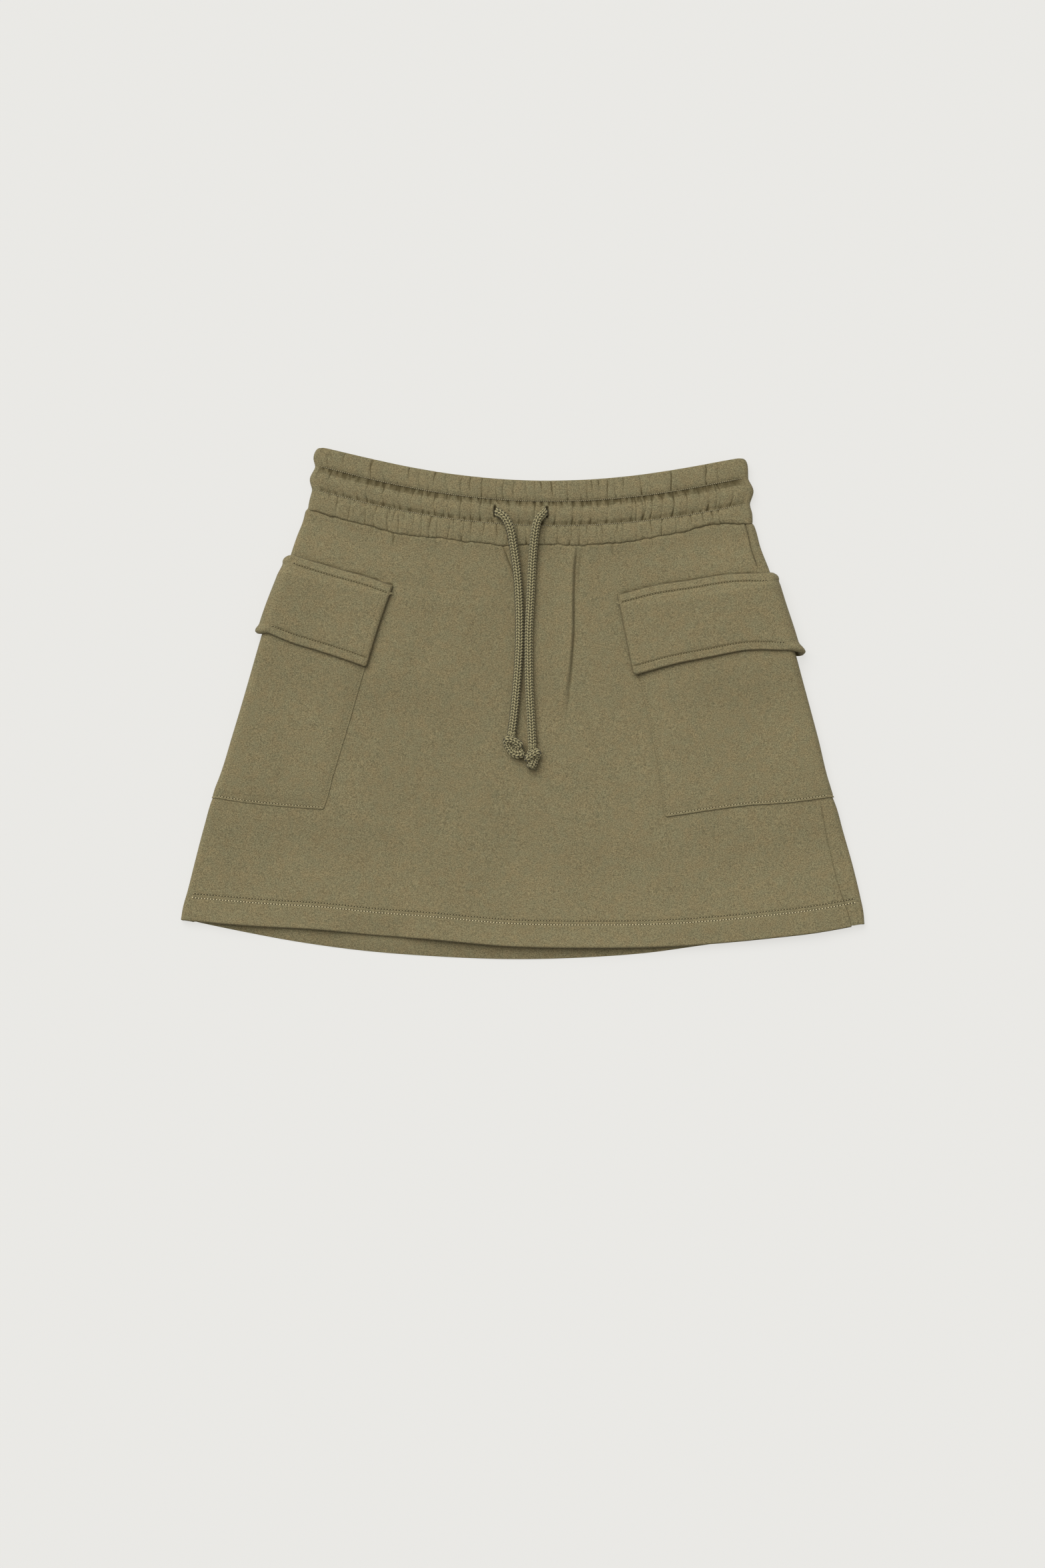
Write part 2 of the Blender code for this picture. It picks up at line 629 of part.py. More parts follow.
def build_cord(side, collection):
    """One free end of the drawcord."""
    curve = bpy.data.curves.new(f"drawcord_{side}", "CURVE")
    curve.dimensions = "3D"
    curve.bevel_depth = CORD / 2
    curve.bevel_resolution = 2
    curve.use_fill_caps = True
    route = smooth_route([[value * MM for value in point] for point in DRAWCORDS[side]], CORD_STEP)
    spline = curve.splines.new("POLY")
    spline.points.add(len(route) - 1)
    for point, place in zip(spline.points, route):
        point.co = (*place, 1.0)
    add_object(f"drawcord_{side}", curve, CORD_LOOK, collection)


def build_knot(side, collection, cutters):
    """A pulled-tight knot at the end of a cord."""
    knot = None
    for label, middle, half, lean in KNOT_SHAPES[side]:
        bpy.ops.mesh.primitive_uv_sphere_add(
            segments=16, ring_count=10, radius=1.0, location=[value * MM for value in middle],
            rotation=(0, 0, math.radians(lean)), scale=[value * MM for value in half])
        if knot is None:
            knot = bpy.context.object
        else:
            combine(knot, make_cutter(f"knot_{label}_{side}", cutters), "UNION")
    knot.name = f"knot_{side}"
    knot.users_collection[0].objects.unlink(knot)
    collection.objects.link(knot)
    knot.data.materials.append(make_material(knot.name, *CORD_LOOK))
    knot.data.shade_smooth()


def main():
    """Builds the skirt."""
    for old in list(bpy.data.objects):
        bpy.data.objects.remove(old)
    skirt = bpy.data.collections.new("cargo_skirt")
    cutters = bpy.data.collections.new("cutters")
    for collection in (skirt, cutters):
        bpy.context.scene.collection.children.link(collection)
    build_panels(skirt)
    build_waistband(skirt, cutters)
    for number, side in enumerate(POCKETS["side"]):
        build_pocket(number, skirt)
        build_flap(number, skirt)
        build_cord(side, skirt)
        build_knot(side, skirt, cutters)


main()
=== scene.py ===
"""Looks for the cargo utility skirt: knitted cloth, gathers, stitches and a braided drawcord.

The cloth lies on the same flattened tube as the CAD solids. A place on it is a face ("front" or
"back", the upper or lower run, or "left" or "right", a side fold), a distance along that face and
a row, which is 0 at the waist seam and 1 at the hem. Creases are placed by their pixels in the
photo.
"""
import math

import bmesh
import bpy
import numpy as np
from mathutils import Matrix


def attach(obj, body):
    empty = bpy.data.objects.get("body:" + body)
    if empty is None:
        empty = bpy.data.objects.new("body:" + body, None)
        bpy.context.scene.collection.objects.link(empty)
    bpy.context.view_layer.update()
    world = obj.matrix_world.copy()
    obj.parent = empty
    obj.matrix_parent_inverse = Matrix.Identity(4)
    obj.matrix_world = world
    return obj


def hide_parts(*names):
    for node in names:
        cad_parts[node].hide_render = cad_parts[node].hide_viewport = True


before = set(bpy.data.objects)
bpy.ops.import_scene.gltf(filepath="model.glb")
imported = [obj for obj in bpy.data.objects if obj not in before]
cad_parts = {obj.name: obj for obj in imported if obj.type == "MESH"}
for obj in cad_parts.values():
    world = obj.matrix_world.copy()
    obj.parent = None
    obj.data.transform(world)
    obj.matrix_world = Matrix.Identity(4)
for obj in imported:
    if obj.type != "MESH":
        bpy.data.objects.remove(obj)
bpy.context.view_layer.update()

MM = 0.001
PIXEL = 0.53 * MM                      # what one pixel of the photo covers
PHOTO_MIDDLE = (784.5, 1054.0)         # the pixel at the frame's origin
random = np.random.default_rng(11)


def placed(name, data):
    """A new object in the scene."""
    made = bpy.data.objects.new(name, data)
    bpy.context.scene.collection.objects.link(made)
    return made


# ---------------------------------------------------------------- camera

VIEW_MIDDLE = (-0.3 * MM, -64.7 * MM)  # what the camera looks straight down on
VIEW_HEIGHT = 1246.6 * MM              # what the picture's height covers
CAMERA_UP = 4.0                        # metres
SENSOR = 36.0                          # the sensor's longer side in mm

camera_data = bpy.data.cameras.new("camera")
camera_data.sensor_width = SENSOR
camera_data.lens = SENSOR * CAMERA_UP / VIEW_HEIGHT
camera = placed("camera", camera_data)
camera.location = (*VIEW_MIDDLE, CAMERA_UP)
bpy.context.scene.camera = camera

# ---------------------------------------------------------------- sizes shared with the CAD part

SEAM = 0.3 * MM                        # parting between two pieces where they are sewn
CLOTH = 1.6 * MM                       # one layer of cloth
HEM_WALL = 3.2 * MM                    # cloth with its turned-up hem
BODY_FOLD = 3.4 * MM                   # outer radius of the body at its side folds
ROW_LENGTH = 325 * MM                  # from the waist seam to the hem fold

# The silhouette of the body, from the waist seam to the hem. Tables are in mm.
BODY = {
    "row":   (0.0, 0.03, 0.06, 0.125, 0.225, 0.35, 0.54, 0.665, 0.71, 0.77, 0.865, 0.93, 0.965, 1.0),
    "left":  (-172.4, -175.0, -178.9, -185.9, -197.3, -209.6, -227.8, -240.8, -247.2, -253.0,
              -261.2, -266.6, -269.9, -271.9),
    "right": (183.2, 186.0, 188.4, 196.1, 205.2, 216.3, 232.6, 242.9, 248.7, 254.2,
              263.0, 268.1, 270.5, 271.5),
}
LEFT_Y = (153.0 * MM, -172.1 * MM)     # the left fold's ends, at the waist seam and at the hem
RIGHT_Y = (143.4 * MM, -174.2 * MM)
SIDE_DROP = (1.0 * MM, 2.7 * MM)       # the hem hangs this much lower at the left and right folds
SIDE_DROP_START = 0.7                  # from this row on
SAG = (23.3 * MM, 21.2 * MM)           # how far the middle of a row hangs below its ends

# Height of the upper face over the lower one, down the middle.
LOFT = {
    "row":    (0.0, 0.06, 0.125, 0.225, 0.35, 0.70, 0.85, 0.935, 1.0),
    "height": (6.8, 6.2, 5.6, 5.1, 4.9, 4.9, 5.4, 7.2, 8.2),
}
LOFT_SLOPE = 45 * MM                   # the side folds' height gives way to the loft over this
HEM_ROWS = (0.933, 0.941)              # the turned-up hem's edge lies between these rows
BACK_LIFT = 1.3 * MM                   # the back leaves the waistband this high
BACK_LIFT_END = 0.06                   # and lies on the floor from this row

# How far the front hem strays from its even curve, and how far the back hem hangs below it.
HEM_WAVE = {
    "share": (0.0, 0.12, 0.20, 0.27, 0.36, 0.48, 0.60, 0.72, 0.81, 0.87, 0.93, 1.0),
    "rise":  (0.0, 4.3, 6.8, 6.4, 5.9, 2.4, 0.8, -0.9, -1.2, -1.2, -1.3, 0.0),
}
HEM_WAVE_START = 0.5                    # the rows stray with the front hem from this one on
BACK_HEM = {
    "share": (0.0, 0.08, 0.16, 0.25, 0.37, 0.49, 0.60, 0.69, 0.76, 0.82, 0.90, 1.0),
    "drop":  (0.0, 2.6, 5.2, 7.2, 8.2, 8.6, 7.4, 5.5, 2.7, 0.9, 0.3, 0.0),
}

# The long soft fold down the front: its line, its height and its section. The section is finer
# here than on the solids: a slow rise on the left of the line and a steep fall on its right.
FRONT_FOLD = {
    "row":    (0.0, 0.03, 0.12, 0.22, 0.29, 0.35, 0.42),
    "x":      (43.4, 42.0, 40.4, 40.2, 38.3, 35.6, 33.0),
    "height": (0.5, 1.4, 1.7, 1.6, 1.3, 0.8, 0.0),
}
FOLD_SECTION = {
    "across": (-14, -9, -4, -0.9, 0.4, 1.6, 6.5, 11),
    "share":  (0, 0.35, 0.85, 1, 0.1, -0.3, -0.15, 0),
}

# Where the side seams run, in from the fold. Near the waist the right one is further in here
# than on the solids, because the photo shows it on the front.
SIDE_SEAM = {
    "row":   (0.0, 0.125, 0.35, 0.70, 0.80, 0.90, 0.95, 1.0),
    "left":  (8.0,) * 8,
    "right": (3.0, 4.6, 3.6, 7.9, 10.4, 11.0, 9.2, 6.8),
}

# Pockets and flaps wrap a side fold. Each value is for the left and for the right one. "edge" is
# the upright edge on the front, from the side fold, and "back" the one on the back. "corner" is how
# far the lower corner points out past that edge, and "round" its radius. "top" and "bottom" are the
# rows of the level edges, from the upright edge to the side fold.
SIDES = ("left", "right")
NEARNESS = (0.0, 0.25, 0.5, 0.75, 1.0)
POCKETS = {
    "edge_at_top":    (79.4, 115.5),
    "edge_at_bottom": (80.6, 125.5),
    "corner":         (3.0, 3.2),
    "top":            ((0.170,) * 5, (0.170,) * 5),
    "bottom":         ((0.6970, 0.7000, 0.7025, 0.7040, 0.7035), (0.6855, 0.6795, 0.6775, 0.6840, 0.6880)),
    "back":           (102.0, 56.0),
    "round":          (1.0, 1.0),
}
FLAPS = {
    "edge_at_top":    (79.9, 118.0),
    "edge_at_bottom": (80.3, 123.0),
    "corner":         (0.0, 0.0),
    "top":            ((0.1330, 0.1230, 0.1190, 0.1155, 0.1125), (0.1290, 0.1145, 0.1124, 0.1130, 0.1280)),
    "bottom":         ((0.3355, 0.3250, 0.3172, 0.3116, 0.3015), (0.3290, 0.3125, 0.3055, 0.3032, 0.3210)),
    "back":           (102.0, 56.0),
    "round":          (1.5, 2.6),
}
CORNER_START = 0.85                    # a corner points out from this share down
CORNER_BLUNT = 0.97                    # below 1, a round corner doesn't end level
SWELL = (1.5 * MM, 1.8 * MM)           # a flap stands out from the fold below its seam
FLARE = (0.4 * MM, 2.6 * MM)           # and that much more at its free edge
FLAP_LIFT = 1.3 * MM                   # its free corner stands off the pocket
FLAP_THICK = 2.8 * MM

# Where the body climbs over the pockets and flaps that lie under it, and over how far.
BACK_SLOPE, FRONT_SLOPE, TOP_SLOPE, INWARD_SLOPE = 26 * MM, 40 * MM, 13 * MM, 90 * MM
POCKET_ROWS = (0.158, 0.703)
FLAP_ROWS = (0.118, 0.334)
BESIDE_POCKET = 1 * MM                 # the raised part reaches this far past them

BAND_WALL = 3.6 * MM                   # casing, elastic, casing
BAND_FOLD = 4.1 * MM                   # outer radius at its side folds
BAND_FLOOR = 0.6 * MM                  # its underside, before the gathers

# The waistband's levels, from the waist seam up to its top shoulder. "sag" is how far a level's
# middle hangs below its ends, and with more "bow" it hangs less near its ends.
BAND = {
    "left":    (-170.9, -169.3, -167.7, -168.9, -165.2, -166.1, -164.8),
    "left_y":  (153.3, 161.0, 168.5, 177.6, 187.3, 194.0, 202.0),
    "right":   (182.6, 182.0, 180.6, 182.9, 179.2, 178.5, 177.8),
    "right_y": (143.7, 150.2, 157.4, 168.0, 178.0, 186.2, 193.6),
    "sag":     (23.3, 22.8, 22.3, 22.5, 22.8, 22.4, 21.9),
    "bow":     (0.0, 0.0, 0.03, 0.06, 0.09, 0.12, 0.15),
}
LEVELS = (0, 1, 2, 3, 4, 5, 6)
SHOULDER = 6.0

CORD = 6.2 * MM

# The drawcord's free ends, from their buttonholes down: the points of part.py's routes in mm.
DRAWCORDS = {
    "left": ((-22.0, 150.4, 11.6), (-18.3, 149.6, 12.9), (-15.2, 147.4, 13.9), (-12.6, 143.5, 14.3),
             (-10.3, 138.2, 14.1), (-8.7, 131.1, 13.3), (-7.3, 122.3, 11.8), (-5.7, 111.7, 10.5),
             (-4.3, 99.3, 9.7), (-3.4, 86.9, 9.3), (-2.9, 72.8, 8.9), (-2.8, 50.0, 8.5),
             (-4.1, 24.2, 8.4), (-6.8, -6.7, 8.4), (-9.2, -26.0, 8.9)),
    "right": ((19.0, 150.4, 11.6), (16.2, 149.2, 12.6), (13.1, 146.5, 13.8), (11.1, 142.6, 14.3),
              (10.0, 137.3, 14.1), (8.9, 129.3, 13.1), (8.1, 120.5, 11.5), (7.3, 109.9, 10.4),
              (6.6, 95.8, 9.6), (5.9, 81.6, 9.1), (5.1, 67.5, 8.8), (4.5, 49.8, 8.5),
              (4.9, 15.4, 8.4), (6.5, -15.5, 8.4), (7.5, -35.2, 8.9)),
}

# ---------------------------------------------------------------- small tools


def ramp(value, start, end):
    """0 before start, 1 after end, and straight between."""
    return np.clip((value - start) / (end - start), 0.0, 1.0)


def ease(value, start, end):
    """As ramp, but smooth at both ends."""
    share = ramp(value, start, end)
    return share * share * (3 - 2 * share)


def blend(ends, share):
    """From the first of two values to the second."""
    return ends[0] + (ends[1] - ends[0]) * share


def bell(distance, breadth):
    """1 at no distance, falling to nothing at about twice the breadth."""
    return np.exp(-(distance / breadth) ** 2)


def curve(places, values, place):
    """A smooth curve through listed values, level beyond its ends."""
    places, values = np.asarray(places, float), np.asarray(values, float)
    slopes = np.gradient(values, places)
    index = np.clip(np.searchsorted(places, place) - 1, 0, len(places) - 2)
    step = places[index + 1] - places[index]
    on = np.clip((place - places[index]) / step, 0.0, 1.0)
    off = 1 - on
    value = values[index] * (1 + 2 * on) * off ** 2
    value += values[index + 1] * (3 - 2 * on) * on ** 2
    return value + step * on * off * (slopes[index] * off - slopes[index + 1] * on)


def read(table, name, place, by="row"):
    """A table's value in metres, at any row or at any place in another of its columns."""
    return curve(table[by], table[name], place) * MM


def arch(share):
    """0 at both ends of a run, and 1 in its middle."""
    return 4 * share * (1 - share)


def unit(vectors):
    """Directions of vectors."""
    return vectors / np.maximum(np.linalg.norm(vectors, axis=-1, keepdims=True), 1e-9)


def walked_along(points):
    """How far along a line each of its points is."""
    return np.concatenate([[0], np.cumsum(np.linalg.norm(np.diff(points, axis=0), axis=1))])


def photo_column(x):
    """The photo's pixel column at an x."""
    return PHOTO_MIDDLE[0] + x / PIXEL


def photo(points):
    """Places in metres from pixels of the photo."""
    points = np.asarray(points, float)
    return np.stack([points[:, 0] - PHOTO_MIDDLE[0], PHOTO_MIDDLE[1] - points[:, 1]], axis=1) * PIXEL


FINE_STEP = 0.02                       # a share of the way between two of a route's points


def smooth_route(points, step):
    """Points about a step apart on a smooth curve through the given ones."""
    points = [np.array(point) for point in points]
    knots = [2 * points[0] - points[1], *points, 2 * points[-1] - points[-2]]
    fine = []
    for before, start, end, after in zip(knots, knots[1:], knots[2:], knots[3:]):
        for t in np.arange(0, 1, FINE_STEP):
            fine.append(0.5 * (2 * start + (end - before) * t
                               + (2 * before - 5 * start + 4 * end - after) * t ** 2
                               + (3 * start - before - 3 * end + after) * t ** 3))
    fine = np.array([*fine, points[-1]])
    walked = walked_along(fine)
    places = np.linspace(0, walked[-1], round(walked[-1] / step) + 1)
    return np.stack([np.interp(places, walked, fine[:, axis]) for axis in range(3)], axis=1)


def stations(start, *spans):
    """Growing numbers from start: each span is its end and its step."""
    parts = []
    for end, step in spans:
        count = max(1, round((end - start) / step))
        parts.append(np.linspace(start, end, count, endpoint=False))
        start = end
    return np.concatenate([*parts, [start]])


# ---------------------------------------------------------------- creases
#
# Each crease is a line of photo pixels, its height in mm (below zero for a furrow) and its
# breadth in mm.

FRONT_CREASES = (
    # beside the long fold, and the soft shadow that runs on from its foot
    (((868, 770), (865, 822), (862, 850), (861, 890), (861, 947), (857, 1013), (847, 1095)), -0.75, 1.2),
    (((856, 800), (852, 870), (851, 950), (846, 1020), (838, 1080)), 0.28, 5.5),
    (((862, 1000), (880, 1080), (896, 1130), (915, 1170)), -0.5, 5.0),
    (((888, 800), (886, 850), (890, 900)), 0.3, 4.5),
    (((900, 1000), (915, 1070), (955, 1120)), 0.23, 9.0),
    # short creases at the waist seam
    (((752, 796), (755, 820), (764, 845), (773, 866)), -0.9, 0.9),
    (((758, 806), (771, 842)), 0.5, 1.8),
    (((590, 794), (591, 806), (589, 820)), -0.6, 1.0),
    (((596, 798), (600, 816)), 0.3, 2.0),
    (((877, 790), (880, 806)), -0.5, 1.1),
    (((1093, 795), (1110, 812), (1127, 830)), -0.5, 4.0),
    (((987, 800), (985, 840), (990, 880)), 0.15, 5.0),
    # long soft ridges and hollows
    (((643, 810), (623, 853), (613, 913), (603, 980), (580, 1090)), 0.35, 9.0),
    (((668, 820), (655, 890), (646, 970), (640, 1060)), -0.23, 10.0),
    (((820, 840), (818, 930), (822, 1080)), 0.17, 8.0),
    (((700, 860), (696, 960), (704, 1100), (712, 1220)), 0.2, 14.0),
    (((742, 1130), (752, 1230), (778, 1340), (786, 1400)), -0.28, 9.0),
    (((560, 1140), (600, 1230), (640, 1330), (655, 1400)), 0.23, 13.0),
    (((905, 1180), (930, 1260), (962, 1350), (975, 1410)), 0.23, 12.0),
    (((835, 1190), (842, 1290), (850, 1400)), 0.2, 11.0),
    (((520, 830), (505, 860), (480, 880)), -0.17, 7.0),
    (((330, 1225), (400, 1242), (470, 1262)), 0.2, 8.0),
    (((1090, 1262), (1170, 1244), (1260, 1222)), 0.17, 8.0),
    (((360, 960), (352, 1060), (330, 1170)), 0.15, 9.0),
    (((1190, 1000), (1204, 1090), (1232, 1190)), 0.15, 9.0),
)
BACK_CREASES = (
    (((560, 790), (565, 860), (575, 950), (590, 1040)), 0.8, 3.0),
    (((700, 800), (704, 900), (700, 1010)), 0.6, 6.0),
    (((910, 800), (905, 880), (900, 980)), 0.8, 3.5),
    (((1010, 800), (1000, 900), (1010, 1020)), 0.5, 7.0),
    (((640, 1150), (660, 1280), (655, 1400)), 0.6, 8.0),
    (((860, 1120), (880, 1250), (905, 1400)), 0.6, 9.0),
    (((740, 800), (742, 826)), 0.6, 1.6),
    (((820, 800), (816, 830)), 0.6, 1.6),
    (((1060, 800), (1052, 824)), 0.5, 1.6),
    (((500, 800), (508, 822)), 0.5, 1.6),
)

# Slow waves that keep the cloth from lying dead flat: length across and down, start, height.
WAVES = ((92, 140, 0.3, 0.10), (61, -170, 1.9, 0.08), (150, 64, 4.1, 0.12), (43, 75, 2.2, 0.04),
         (-37, 52, 5.0, 0.04), (23, -31, 0.9, 0.03))
HEM_STITCHES = (18.5 * MM, 21.6 * MM)      # above the hem fold

# How far the front hem stands off the back's, by its pixel column in the photo.
HEM_LIFT = {
    "column": (270, 310, 345, 390, 440, 490, 525, 560, 595,
               625, 700, 780, 870, 940, 1000, 1050, 1150, 1290),
    "height": (0.0, -0.6, 0.9, 0.5, -0.5, 0.7, -1.6, -2.2, -2.1,
               0.2, 1.7, 1.9, 1.9, 1.2, -0.4, -1.2, -0.8, 0.0),
}
HEM_LIFT_START = 0.95                   # it stands off so from this row on
CREASE_MARGIN = 2.5                     # breadths beside a crease that it still reaches
CREASE_TAPER = 0.6                      # below 1, a crease keeps its height nearly to its ends
CREASE_ENDS = (0.02, 0.98)              # and past these shares of its length it changes no more


def crease_height(table, x, y):
    """What a table of creases adds to the height here."""
    height = np.zeros(np.shape(x))
    for line, rise, breadth in table:
        line, breadth = photo(line), breadth * MM
        margin = CREASE_MARGIN * breadth
        low, high = line.min(axis=0) - margin, line.max(axis=0) + margin
        inside = (x > low[0]) & (x < high[0]) & (y > low[1]) & (y < high[1])
        if not inside.any():
            continue
        px, py = x[inside], y[inside]
        nearest, place, walked = np.full(px.shape, np.inf), np.zeros(px.shape), 0.0
        for start, end in zip(line, line[1:]):
            run = end - start
            size = float(np.hypot(*run))
            share = np.clip(((px - start[0]) * run[0] + (py - start[1]) * run[1]) / size ** 2, 0, 1)
            away = np.hypot(px - start[0] - share * run[0], py - start[1] - share * run[1])
            closer = away < nearest
            nearest = np.where(closer, away, nearest)
            place = np.where(closer, walked + share * size, place)
            walked += size
        fade = np.sin(math.pi * np.clip(place / walked, *CREASE_ENDS)) ** CREASE_TAPER
        height[inside] += rise * MM * fade * bell(nearest, breadth)
    return height


def waves(x, y):
    """The slow waves."""
    total = np.zeros(np.shape(x))
    for across, down, start, height in WAVES:
        total += height * MM * np.sin(2 * math.pi * (x / (across * MM) + y / (down * MM)) + start)
    return total


SHARP_SHARE = 0.6                       # of a furrow's depth. The rest is a hollow
HOLLOW_BREADTH = 3.5                    # the hollow's breadth, in breadths of the sharp line


def furrow(across, breadth):
    """The section of a furrow: a sharp line in a soft hollow. 1 on the line."""
    hollow = (1 - SHARP_SHARE) * bell(across, HOLLOW_BREADTH * breadth)
    return SHARP_SHARE * np.exp(-np.abs(across) / breadth) + hollow


SEAM_PUCKERS = 58
PUCKER_BREADTH = 0.7 * MM
pucker_shares = np.sort(random.uniform(0.02, 0.98, SEAM_PUCKERS))
pucker_depths = random.uniform(0.15, 0.75, SEAM_PUCKERS) ** 1.5 * MM
pucker_lengths = random.uniform(3.0, 11.0, SEAM_PUCKERS) * MM
pucker_leans = random.uniform(-0.25, 0.25, SEAM_PUCKERS)


def seam_puckers(share, down, length):
    """The small furrows that start at the waist seam."""
    total = np.zeros(np.shape(share))
    for middle, depth, reach, lean in zip(pucker_shares, pucker_depths, pucker_lengths, pucker_leans):
        across = (share - middle) * length - lean * down
        total -= depth * furrow(across, PUCKER_BREADTH) * bell(np.maximum(down, 0.0), reach)
    return total


FLAP_GROOVE = {"deep": 0.6 * MM, "above": 0.5 * MM, "breadth": 0.9 * MM, "fade": 1 * MM}


def flap_top_groove(share, row, length):
    """The line where a flap is sewn on, just above its top edge."""
    groove = np.zeros(np.shape(share))
    for number, side in enumerate(SIDES):
        reach = FLAPS["edge_at_top"][number] * MM
        away = share * length if side == "left" else (1 - share) * length
        near = 1 - np.minimum(away / reach, 1.0)
        down = (row - curve(NEARNESS, FLAPS["top"][number], near)) * ROW_LENGTH
        line = FLAP_GROOVE["deep"] * bell(down + FLAP_GROOVE["above"], FLAP_GROOVE["breadth"])
        groove += line * (1 - ramp(away, reach, reach + FLAP_GROOVE["fade"]))
    return groove


SEAM_TUCK = 2.6 * MM                    # the body's cloth goes this far up inside the waistband
SEAM_UNDER = 1.9 * MM                   # and this far down there
SEAM_DEEP, SEAM_BREADTH = 0.7 * MM, 0.85 * MM
SEAM_FADE = 5 * MM                      # the cloth beside the seam strays with it as far as this
# Waves on the sewn line: length, start and height. Then how far it strays by the photo's columns.
SEAM_WOBBLE = ((71, 0.4, 0.4), (29, 2.0, 0.26), (13.5, 1.1, 0.2), (7.7, 3.3, 0.14))
SEAM_DRIFT = {
    "column": (470, 508, 540, 578, 620, 655, 690, 720, 760, 816, 886, 914,
               938, 956, 972, 998, 1026, 1056, 1070, 1084, 1097, 1110, 1124, 1134),
    "rise":   (0.0, -1.4, -1.5, -2.1, -2.1, -1.1, -1.3, -0.7, -1.3, 0.0, -0.3, 0.0,
               -1.1, -0.3, 1.0, 1.6, 2.5, 3.5, 3.3, 2.6, 0.8, -0.9, -1.5, -0.4),
}
SIDE_SEAM_DEEP = (1.3 * MM, 0.65 * MM)  # near the waist, and lower down
SIDE_SEAM_EASES = (0.3, 0.6)            # from the one to the other between these rows
SIDE_SEAM_BREADTH = 0.8 * MM
SEAM_HIDES, SEAM_SHOWS = (0.10, 0.12), (0.70, 0.71)     # the rows where a pocket begins and ends


def seam_line(x):
    """How far the sewn line at the waist strays up or down."""
    stray = read(SEAM_DRIFT, "rise", photo_column(x), by="column")
    for size, start, rise in SEAM_WOBBLE:
        stray = stray + rise * MM * np.sin(2 * math.pi * x / (size * MM) + start)
    return stray


def seam_dip(down):
    """The valley at the waist seam, and the cloth that goes on under the waistband."""
    valley = SEAM_DEEP * bell(np.maximum(down, 0.0), SEAM_BREADTH)
    return -valley - SEAM_UNDER * ramp(-down, 0.0, SEAM_TUCK)


def side_seam_dip(along, row, length):
    """The valley of the right side seam, which shows on the front, above and below the pocket."""
    bare = 1 - ease(row, *SEAM_HIDES) * (1 - ease(row, *SEAM_SHOWS))
    deep = blend(SIDE_SEAM_DEEP, ease(row, *SIDE_SEAM_EASES))
    return -deep * bell(length - along - read(SIDE_SEAM, "right", row), SIDE_SEAM_BREADTH) * bare


SIDE_EASE = 14 * MM                     # the relief fades in over this from the side folds
STITCH_DIP, STITCH_BREADTH = 0.35 * MM, 0.7 * MM


def body_relief(face, x, y, share, row, length):
    """How far creases, puckers and stitch rows raise the body's cloth at this place."""
    down = row * ROW_LENGTH
    up = (1 - row) * ROW_LENGTH
    side = ease(np.minimum(share, 1 - share) * length, 0.0, SIDE_EASE)
    relief = seam_puckers(share, down, length)
    for height in HEM_STITCHES:
        relief -= STITCH_DIP * bell(up - height, STITCH_BREADTH)
    if face == "front":
        relief += crease_height(FRONT_CREASES, x, y) + waves(x, y) - flap_top_groove(share, row, length)
        relief += read(HEM_LIFT, "height", photo_column(x), by="column") * ease(row, HEM_LIFT_START, 1.0)
        return relief * side + seam_dip(down) + side_seam_dip(share * length, row, length)
    return (crease_height(BACK_CREASES, x, y) - relief) * side - seam_dip(down)


# ---------------------------------------------------------------- the flattened tube


def tube_point(face, along, ends, sag, low, high, fold, out):
    """Points of a flattened tube, moved out of its surface by out."""
    (left_x, left_y), (right_x, right_y) = ends
    length = right_x - left_x - 2 * fold
    if face in SIDES:
        sign, x, y, away = -1, left_x + fold, left_y, 0 * length
        if face == "right":
            sign, x, y, away = 1, right_x - fold, right_y, length
        turn = (along - 0.5) * math.pi
        middle = low(away, length - away) + fold
        x = x + sign * (fold + out) * np.cos(turn)
        return np.stack(np.broadcast_arrays(x, y, middle + (fold + out) * np.sin(turn)), axis=-1)
    share = along / length
    x = left_x + fold + along
    y = blend((left_y, right_y), share) - sag(share) * arch(share)
    if face == "back":
        z = low(along, length - along) - out
    else:
        z = high(along, length - along) + out
    return np.stack(np.broadcast_arrays(x, y, z), axis=-1)


def pocket_cover(row, slope):
    """1 on the rows that a pocket covers, falling off above its top and below its bottom."""
    top, bottom = POCKET_ROWS
    above = ramp(row, top - TOP_SLOPE / ROW_LENGTH, top)
    return above * (1 - ease(row, bottom, bottom + slope / ROW_LENGTH))


def flap_cover(row, slope):
    """The same for a flap."""
    top, bottom = FLAP_ROWS
    soft = slope / ROW_LENGTH
    return ease(row, top - soft, top) * (1 - ease(row, bottom, bottom + soft))


def lift_over_pockets(row, from_left, from_right, slope, slope_inward):
    """How far the pockets and flaps under the back raise the body here."""
    layers = flap_cover(row, slope) * (FLAP_THICK + SEAM) + pocket_cover(row, slope) * (CLOTH + SEAM)
    left_reach, right_reach = (reach * MM + BESIDE_POCKET for reach in POCKETS["back"])
    beside = np.maximum(1 - ease(from_left, left_reach, left_reach + slope_inward),
                        1 - ease(from_right, right_reach, right_reach + slope_inward))
    return layers * beside


def body_ends(row):
    """The silhouette of the body on both sides of a row."""
    return (read(BODY, "left", row), blend(LEFT_Y, row)), (read(BODY, "right", row), blend(RIGHT_Y, row))


def body_length(row):
    """The length of a run, between the side folds."""
    (left, _), (right, _) = body_ends(row)
    return right - left - 2 * BODY_FOLD


def front_fold_rise(row, x):
    """The height of the long soft fold."""
    across = (x - read(FRONT_FOLD, "x", row)) / MM
    return read(FRONT_FOLD, "height", row) * curve(FOLD_SECTION["across"], FOLD_SECTION["share"], across)


LEAST_ARCH = 0.08                       # keeps a hem's height finite at the side folds


